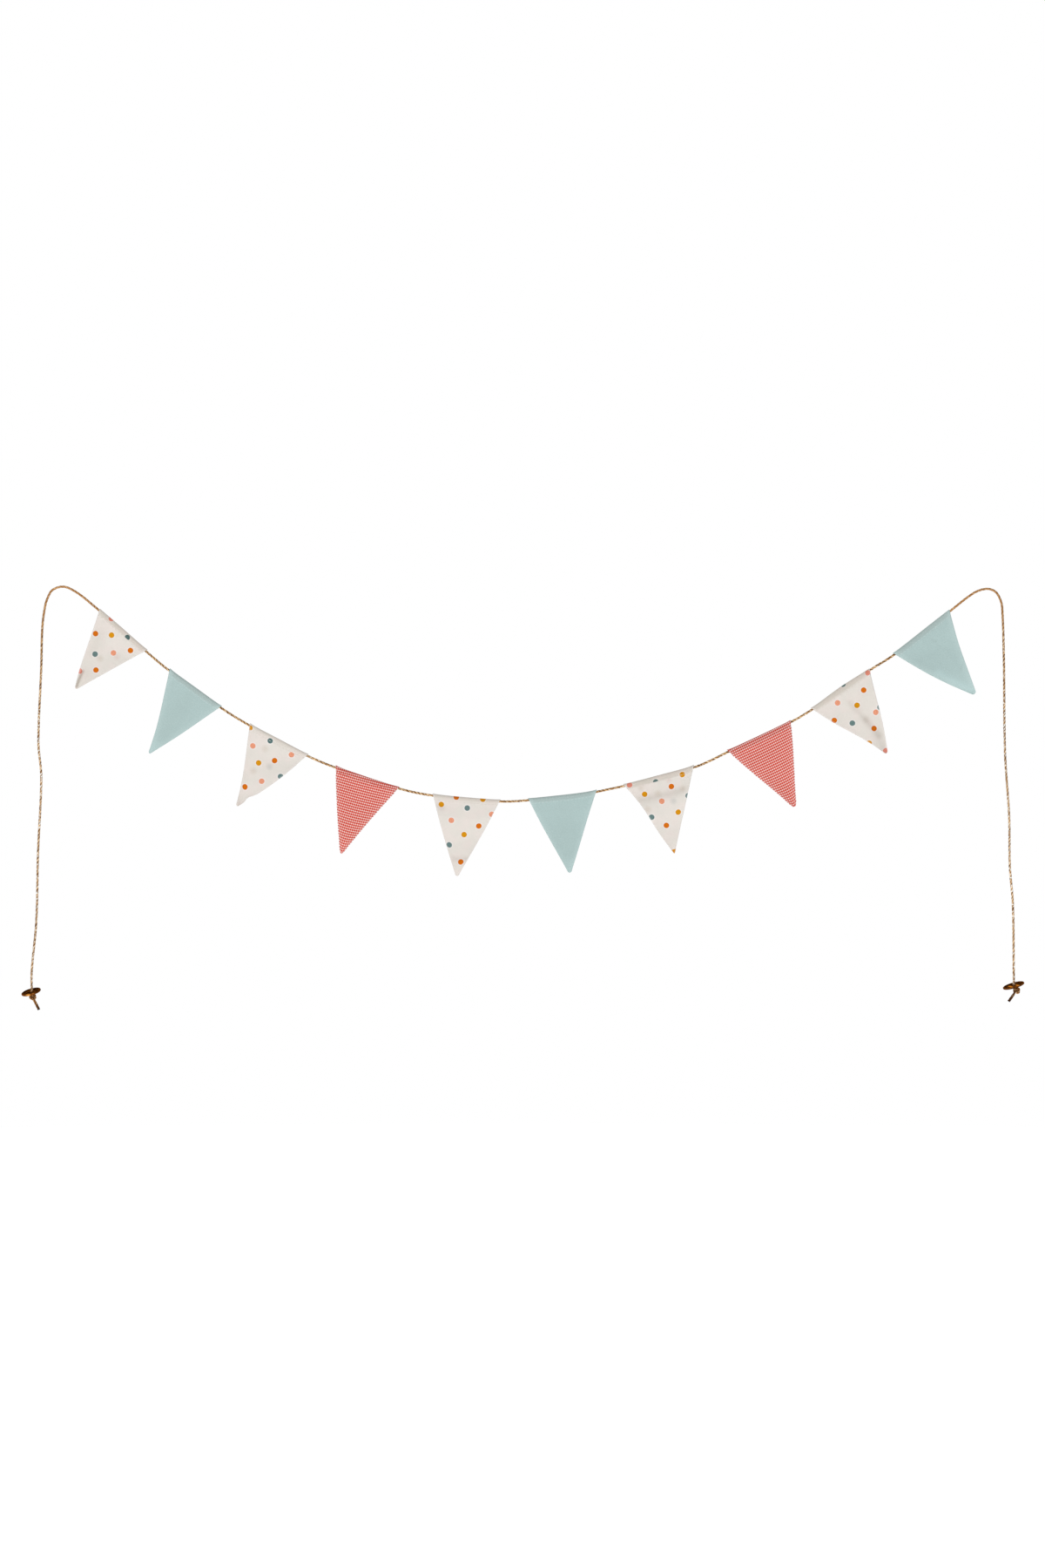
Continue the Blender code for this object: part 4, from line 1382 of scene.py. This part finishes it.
fraying, given = new_tree(
    "fraying", Spacing="float", Length="float", Thickness="float", Seed="integer", Material="material"
)
lean = feed(
    fraying,
    "FunctionNodeRandomValue",
    {0: (0.0, -FRAY_LEAN, -FRAY_LEAN), 1: (0.0, FRAY_LEAN, FRAY_LEAN), "Seed": given["Seed"]},
    data_type="FLOAT_VECTOR",
)
line = feed(
    fraying, "GeometryNodeCurvePrimitiveLine", {"Start": (-FRAY_INSIDE, 0.0, 0.0), "End": (1.0, 0.0, 0.0)}
)
round_thread = feed(fraying, "GeometryNodeCurvePrimitiveCircle", {"Resolution": FRAY_SIDES, "Radius": 1.0})
slim = feed(fraying, "ShaderNodeMath", {0: given["Thickness"], 1: given["Length"]}, operation="DIVIDE")
thread = feed(
    fraying,
    "GeometryNodeCurveToMesh",
    {"Curve": line, "Profile Curve": round_thread, "Scale": slim, "Fill Caps": True},
)
long = add_node(
    fraying, "FunctionNodeRandomValue", {2: FRAY_SHORTEST, 3: 1.0, "Seed": given["Seed"]}, data_type="FLOAT"
).outputs[1]
size = feed(fraying, "ShaderNodeMath", {0: long, 1: given["Length"]}, operation="MULTIPLY")
loose = lay_along(fraying, given, given["Spacing"], lean, thread, size, outwards=True)
finish_tree(fraying, given, loose)

# %% Loose threads
FRAY_SPACING = 0.14 * MM
FRAY_LENGTH = 0.42 * MM
FRAY_THICKNESS = 0.07 * MM  # radius
FRAY_SHARE = 0.5  # share of the repeat that is the red row
RED_MIDDLE = 0.25  # share of the repeat at which the red row's middle lies
FRAY_STEPS = 3  # rounds of finding where a slanting row meets the edge
loose_thread = sewing_thread("loose_gingham_thread", "#DE8377")


def red_rows(pennant, across):
    """Where the red rows of the weft meet the edge, as stretches of depth in mm."""
    outline = pennant.outline
    skew = math.tan(math.radians(pennant.seam.skew))
    last = outline.drop - GINGHAM_DOWN
    half = GINGHAM_DOWN * FRAY_SHARE / 2
    rows = []
    row = 0
    middle = 0.0
    while middle < last:
        row += 1
        middle = (row + RED_MIDDLE) * GINGHAM_DOWN
        for _ in range(FRAY_STEPS):
            share = middle / outline.drop
            edge = (across - 0.5) * ((outline.right - outline.left) * (1 - share) + outline.tip * share)
            middle = (row + RED_MIDDLE) * GINGHAM_DOWN - (edge + outline.lean * share) * skew
        if STITCH_DEPTH / MM + 1 < middle < last:
            rows.append((middle - half, middle + half))
    return rows


def add_fraying(number, pennant):
    """Tufts on both edges of both leaves. A stretch runs so that the cross product points outwards."""
    lines = []
    for side in (-1, 1):
        for low, high in red_rows(pennant, 1.0):
            lines.append(cloth_line(number, pennant, [(1.0, low * MM), (1.0, high * MM)], side))
        for low, high in red_rows(pennant, 0.0):
            lines.append(cloth_line(number, pennant, [(0.0, high * MM), (0.0, low * MM)], side))
    return grow(
        curve_object(f"loose_threads_{number:02d}", lines),
        fraying,
        Spacing=FRAY_SPACING,
        Length=FRAY_LENGTH,
        Thickness=FRAY_THICKNESS,
        Seed=number,
        Material=loose_thread,
    )


frays = {
    number: add_fraying(number, pennant)
    for number, pennant in enumerate(PENNANTS, start=1)
    if pennant.cloth == "gingham"
}
print("faces of one pennant's loose threads:", len(frays[4].data.polygons))

# %% [markdown]
# ## The discs and knots at the ends
#
# Each tail is threaded through a small turned disc of old brass, and an overhand knot below keeps it on. An
# overhand knot is a trefoil: the strand goes twice round a ring, and in each round it winds one and a half
# times over and under it. That is a formula, so the knot is one strand that really passes through itself,
# pulled tight. The twist tree makes it look like the cord. The discs are turned profiles with a rolled rim.

# %% Table of the ends
# radius: the disc's. disc: its middle, with its rise to the right and its dip to the front in degrees.
# knot: the knot's middle, and flat its height as a share of its width. leaves: where the strand leaves the
# knot. tail: where the cut end is. In mm.
End = namedtuple("End", "name radius disc rise dip knot flat leaves tail")
ENDS = [
    End(
        "left", 5.7, (-17.7, 0.0, -232.1), 14, 15, (-16.6, 0.0, -234.75), 0.86,
        ((-18.3, -1.0, -235.1), (-17.7, -1.5, -235.6), (-16.7, -1.6, -235.9), (-15.8, -1.4, -236.7)),
        (-13.1, -0.8, -242.1),
    ),
    End(
        "right", 6.3, (546.4, 0.0, -228.4), 17, 7, (548.3, 0.0, -231.2), 0.95,
        ((546.6, -0.9, -232.0), (546.6, -1.1, -232.7), (546.1, -1.0, -233.5)),
        (543.4, -0.8, -237.4),
    ),
]
print("ends:", ", ".join(end.name for end in ENDS))

# %% The strand of a knot
KNOT_RING = 1.06 * MM  # radius of the ring that the strand winds round
KNOT_WIND = 0.54 * MM  # how far it winds off that ring
KNOT_STRAND = 0.58 * MM  # radius of the strand, which is pressed into itself where it crosses
TAIL_END = 1.18  # how much thicker than the cord the untwisted tail end is
KNOT_GRIP = 0.9  # and how much thinner it is where it goes into the knot
KNOT_ENTRY = [  # how far outside the knot's edge, behind its middle and above it the strand comes in
    (-0.1 * MM, 0.5 * MM, 1.2 * MM),
    (0.05 * MM, KNOT_WIND, 0.6 * MM),
]
KNOT_TURN = 720  # degrees that the strand goes round the ring
KNOT_LEAD = 60  # degrees at each end over which it stays behind or in front
KNOT_WINDS = 1.5  # times that it winds in each round
KNOT_STEP = 20  # degrees
KNOT_SMOOTH = 3  # steps of the smooth line for each point of the strand
KNOT_MESH_STEP = 0.2 * MM
KNOT_PITCH = 5.4 * MM  # a shorter twist than the cord's, because the strand is thinner
GAP = 0.3 * MM  # between the cord's end and the knot's strand


def knot_line(end, cord_end):
    """The strand from the cord's end through the knot, and its thickness as a share of the tight strand."""
    middle = Vector(end.knot) * MM
    loose = CORD_CREST / KNOT_STRAND
    edge = KNOT_RING + KNOT_WIND

    def place(left, y, up):
        return middle + Vector((-left, y, up))

    line = [
        (cord_end - Vector((0.0, 0.0, GAP)), loose),
        (cord_end - Vector((0.0, 0.0, GAP + CORD_DIAMETER / 2)), loose * KNOT_GRIP),
    ]
    line += [(place(edge + out, y, up), 1.0) for out, y, up in KNOT_ENTRY]
    for degrees in range(0, KNOT_TURN + KNOT_STEP, KNOT_STEP):
        phi = math.radians(degrees)
        out = KNOT_RING + KNOT_WIND * math.cos(KNOT_WINDS * phi)
        behind = math.sin(KNOT_WINDS * phi)
        if degrees < KNOT_LEAD:
            behind = 1.0
        if degrees > KNOT_TURN - KNOT_LEAD:
            behind = -1.0
        line.append((place(out * math.cos(phi), behind * KNOT_WIND, -out * math.sin(phi) * end.flat), 1.0))
    for k, point in enumerate(end.leaves):
        line.append((Vector(point) * MM, 1.0 + (loose * TAIL_END - 1.0) * k / (len(end.leaves) - 1)))
    line.append((Vector(end.tail) * MM, loose * TAIL_END))
    return line


print("the strand is drawn", round(KNOT_STRAND / CORD_CREST, 2), "times as thick as the cord")


# %% Knots
def add_knot(end, cord_end):
    """One knot of the twisted cord, with its tail end."""
    line = knot_line(end, cord_end)
    path = smooth_line([point for point, _ in line], KNOT_SMOOTH)
    sizes = [line[min(k // KNOT_SMOOTH, len(line) - 1)][1] for k in range(len(path))]
    return grow(
        curve_object(f"overhand_knot_{end.name}", [path], sizes),
        twist,
        Step=KNOT_MESH_STEP,
        Pitch=KNOT_PITCH,
        Crest=KNOT_STRAND,
        Valley=KNOT_STRAND * CORD_VALLEY / CORD_CREST,
        Material=knotted[end.name],
    )


cord_ends = {"left": cord_path[0], "right": cord_path[-1]}
knots = {end.name: add_knot(end, cord_ends[end.name]) for end in ENDS}
print("faces of one knot:", len(knots["left"].data.polygons))

# %% [markdown]
# ## Antique brass: the finish
#
# The discs are brass that was darkened on purpose: a brown-black patina covers them, and a few small places
# carry painted reflections, laid as bright bare brass. Bare brass is a metal, so its colour is the colour of
# its reflection and it keeps the default IOR, while the patina on it is an oxide that is hardly metallic at
# all. The rim is a little lighter, so each corner of the disc's mesh carries its height above the web
# ("worn"). Where a disc carries its painted reflections is a short table, because the two differ.

# %% Where the discs carry painted reflections
Rub = namedtuple("Rub", "end x height wide high strength")  # a painted reflection, seen from the front, in mm in the row's frame
PAINTED_REFLECTIONS = [
    Rub("left", -18.8, -233.5, 1.4, 0.6, 1.2),
    Rub("left", -15.9, -232.6, 1.0, 0.5, 0.4),
    Rub("right", 544.4, -228.8, 1.3, 0.35, 0.8),
    Rub("right", 548.1, -227.9, 1.3, 0.35, 0.8),
]
REFLECTION_BACK = 2.0  # mm: how far behind the hole a painted reflection may reach
# painted reflections on the discs
print(len(PAINTED_REFLECTIONS), "rubbed places")

# %% Antique brass material
PATINA = ((0.42, "#170701"), (0.68, "#7C4517"))
REFLECTED_BRASS = "#E09C4C"


def antique_brass(name):
    """Dark patina over brass, with painted reflections of bright bare brass in places: glossy there, duller where it
    is dark.
    """
    material, tree, shader = new_material(name)
    place = add_node(tree, "ShaderNodeTexCoord").outputs["Object"]
    worn = add_node(tree, "ShaderNodeAttribute", attribute_name="worn").outputs["Fac"]
    rubbed = add_node(tree, "ShaderNodeAttribute", attribute_name="rubbed").outputs["Fac"]
    cloud = feed(tree, "ShaderNodeTexNoise", {"Vector": place, "Scale": 0.42 / MM, "Detail": 3.0})
    spots = feed(tree, "ShaderNodeTexNoise", {"Vector": place, "Scale": 0.95 / MM, "Detail": 1.0})
    fine = feed(tree, "ShaderNodeTexNoise", {"Vector": place, "Scale": 2.6 / MM, "Detail": 2.0})
    mottled = feed(tree, "ShaderNodeMix", {0: 0.35, 2: cloud, 3: spots})
    lit = feed(tree, "ShaderNodeMath", {0: worn, 1: 0.12, 2: mottled}, operation="MULTIPLY_ADD")
    patina = feed(tree, "ShaderNodeValToRGB", {0: lit}, stops=PATINA)
    # painted reflections: bare, glossy brass laid where warm light is reflected
    reflection_mask = feed(tree, "ShaderNodeMath", {0: cloud, 1: 0.5, 2: rubbed}, operation="MULTIPLY_ADD")
    bright = feed(tree, "ShaderNodeMapRange", {"Value": reflection_mask, "From Min": 0.5, "From Max": 1.05})
    reflecting = {0: bright, MIX_A: patina, MIX_B: linear(REFLECTED_BRASS)}
    colour = add_node(tree, "ShaderNodeMix", reflecting, data_type="RGBA").outputs[MIX_RESULT]
    rough = feed(tree, "ShaderNodeMapRange", {"Value": bright, "To Min": 0.6, "To Max": 0.28})
    bump = feed(tree, "ShaderNodeBump", {"Height": fine, "Strength": 0.35, "Distance": 0.05 * MM})
    tree.links.new(colour, shader.inputs["Base Color"])
    tree.links.new(rough, shader.inputs["Roughness"])
    tree.links.new(bump, shader.inputs["Normal"])
    tree.links.new(bright, shader.inputs["Metallic"])
    shader.inputs["Specular IOR Level"].default_value = 0.0  # at this low angle any gloss shows the pale room
    shader.inputs["Specular Tint"].default_value = linear("#E6A562")  # and the painted reflections glint warmly
    return material


brass = antique_brass("antique_brass")
print("made", brass.name)

# %% The discs' section
DISC_HOLE = 1.2 * MM  # radius of the hole
HOLE_BREAK = (0.12 * MM, 0.1 * MM)  # how far the hole's edges are broken, outwards and along the axis
DISC_WEB = 0.8 * MM  # thickness of the web
WEB_RINGS = 6  # so that a rubbed place on the web has points to lie on
WEB_END = 3.2  # where the web's flat ends, in rim radii from the outer edge
RIM_FOOT = (2.2, 0.06 * MM)  # where it turns up: rim radii from the outer edge, and height over the web
RIM_SLOPE = (1.5, 0.05 * MM)  # the end of the slope: rim radii from the outer edge, and depth under the top
DISC_RIM = 0.7 * MM  # height of the rim over the web's middle
DISC_EDGE = 0.45 * MM  # radius of the rolled rim
DISC_STEPS = 96  # of faces round the disc


def disc_profile(radius):
    """The half section, from the hole's top out over the rolled rim and back below: r, z and wear."""
    low, high = -DISC_WEB / 2, DISC_WEB / 2
    outwards, along = HOLE_BREAK
    flat = radius - WEB_END * DISC_EDGE - DISC_HOLE
    profile = [(DISC_HOLE, high - along, 0.5), (DISC_HOLE + outwards, high, 0.6)]
    profile += [(DISC_HOLE + flat * k / WEB_RINGS, high, 0.0) for k in range(1, WEB_RINGS + 1)]
    profile.append((radius - RIM_FOOT[0] * DISC_EDGE, high + RIM_FOOT[1], 0.1))
    profile.append((radius - RIM_SLOPE[0] * DISC_EDGE, DISC_RIM - RIM_SLOPE[1], 0.7))
    rolled = [(degrees, DISC_RIM - DISC_EDGE, 1.0) for degrees in range(100, -1, -20)]
    rolled += [(degrees, low + DISC_EDGE, 0.8 + degrees / 200) for degrees in range(0, -91, -18)]
    for degrees, middle, worn in rolled:
        turn = math.radians(degrees)
        r = radius - DISC_EDGE + DISC_EDGE * math.cos(turn)
        profile.append((r, middle + DISC_EDGE * math.sin(turn), worn))
    profile += [(DISC_HOLE + outwards, low, 0.2), (DISC_HOLE, low + along, 0.4)]
    return profile


print("a disc's section has", len(disc_profile(ENDS[0].radius * MM)), "points")


# %% Discs
def reflection_at(rub, point):
    """How bright this painted reflection leaves the point, fading over its width and height."""
    across, up = (point.x / MM - rub.x) / rub.wide, (point.z / MM - rub.height) / rub.high
    return rub.strength * math.exp(-(across**2) - up**2) if point.y < REFLECTION_BACK * MM else 0.0


def add_disc(end):
    """A turned disc, tilted as it hangs."""
    profile = disc_profile(end.radius * MM)
    tilt = Euler((math.radians(end.dip), -math.radians(end.rise), 0.0))
    hanging = Matrix.LocRotScale(Vector(end.disc) * MM, tilt, None)
    count = len(profile)
    points, wear = [], []
    for step in range(DISC_STEPS):
        around = 2 * math.pi * step / DISC_STEPS
        for r, z, worn in profile:
            points.append(hanging @ Vector((r * math.cos(around), r * math.sin(around), z)))
            wear.append(worn)
    faces = []
    for step in range(DISC_STEPS):
        this, following = step * count, (step + 1) % DISC_STEPS * count
        for k in range(count):
            after = (k + 1) % count
            faces.append((this + k, this + after, following + after, following + k))
    mesh = bpy.data.meshes.new(f"brass_disc_{end.name}")
    mesh.from_pydata(points, [], faces)
    reflection_spots = [rub for rub in PAINTED_REFLECTIONS if rub.end == end.name]
    rubbed = [max(reflection_at(rub, point) for rub in reflection_spots) for point in points]
    for label, values in (("worn", wear), ("rubbed", rubbed)):
        attribute = mesh.attributes.new(label, "FLOAT", "POINT")
        attribute.data.foreach_set("value", values)
    shape = bmesh.new()
    shape.from_mesh(mesh)
    bmesh.ops.recalc_face_normals(shape, faces=shape.faces)
    shape.to_mesh(mesh)
    shape.free()
    mesh.shade_smooth()
    mesh.materials.append(brass)
    return new_object(mesh.name, mesh)


discs = {end.name: add_disc(end) for end in ENDS}
print("faces of one disc:", len(discs["left"].data.polygons))

# %% [markdown]
# ## Telling the frame what each piece is
#
# Every piece rides on the one body and stands for its CAD node. The cloths are declared as sheets with the
# size of their flat cut, and the cord as a cord with its real length, so that both can be measured.

# %% Pieces, sheets and the cord
SLOT_OF_CORD = "lurex_cord"

for number, pennant in enumerate(PENNANTS, start=1):
    cloth, extras = cloths[number], [stitches[number]]
    if number in frays:
        extras.append(frays[number])
    for piece in (cloth, *extras):
        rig.ride(piece, "root")
        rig.slot(piece, SLOTS[pennant.cloth])
    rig.replaces(cloth, f"pennant_{number:02d}")
    ends = [on_cord(cord_path, x * MM) for x in (pennant.outline.left, pennant.outline.right)]
    width = (ends[1] - ends[0]).length
    run = column_stations(pennant, CORD_DIAMETER / 2 + pennant.seam.slack * MM + CLOTH / 2, 0.0)
    length = (run[0].print_at - run[-1].print_at) * MM
    casing = length - 2 * (pennant.outline.drop * MM - STITCH_DEPTH)
    area = width * casing + (width + pennant.outline.tip * MM) * (length - casing) / 2
    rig.sheet(cloth, flat=(width, length), held="hung", rests_on=[cord], area=area, with_pieces=extras)
    print(f"pennant {number}: cut {width / MM:.1f} x {length / MM:.1f} mm, {area * 1e6:.0f} mm2")

for piece, node in ((cord, "cord"), *((knots[end.name], f"knot_{end.name}") for end in ENDS)):
    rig.ride(piece, "root")
    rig.slot(piece, SLOT_OF_CORD)
    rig.replaces(piece, node)
for end in ENDS:
    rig.ride(discs[end.name], "root")
    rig.slot(discs[end.name], "antique_disc")
    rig.replaces(discs[end.name], f"disc_{end.name}")
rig.cord(
    cord,
    exit=cord_path[0],
    length=cord_length,
    diameter=CORD_DIAMETER,
    far_end="knot",
    stiffness="limp",
    lay="hanging",
    path=cord_path,
    with_pieces=[*discs.values(), *knots.values()],
)

# %% Sizes, and the end
with open("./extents.json", "w") as file:
    json.dump({"cad": [list(map(float, c)) for c in cad_box], "visual": [list(map(float, c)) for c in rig.bounds()]}, file)
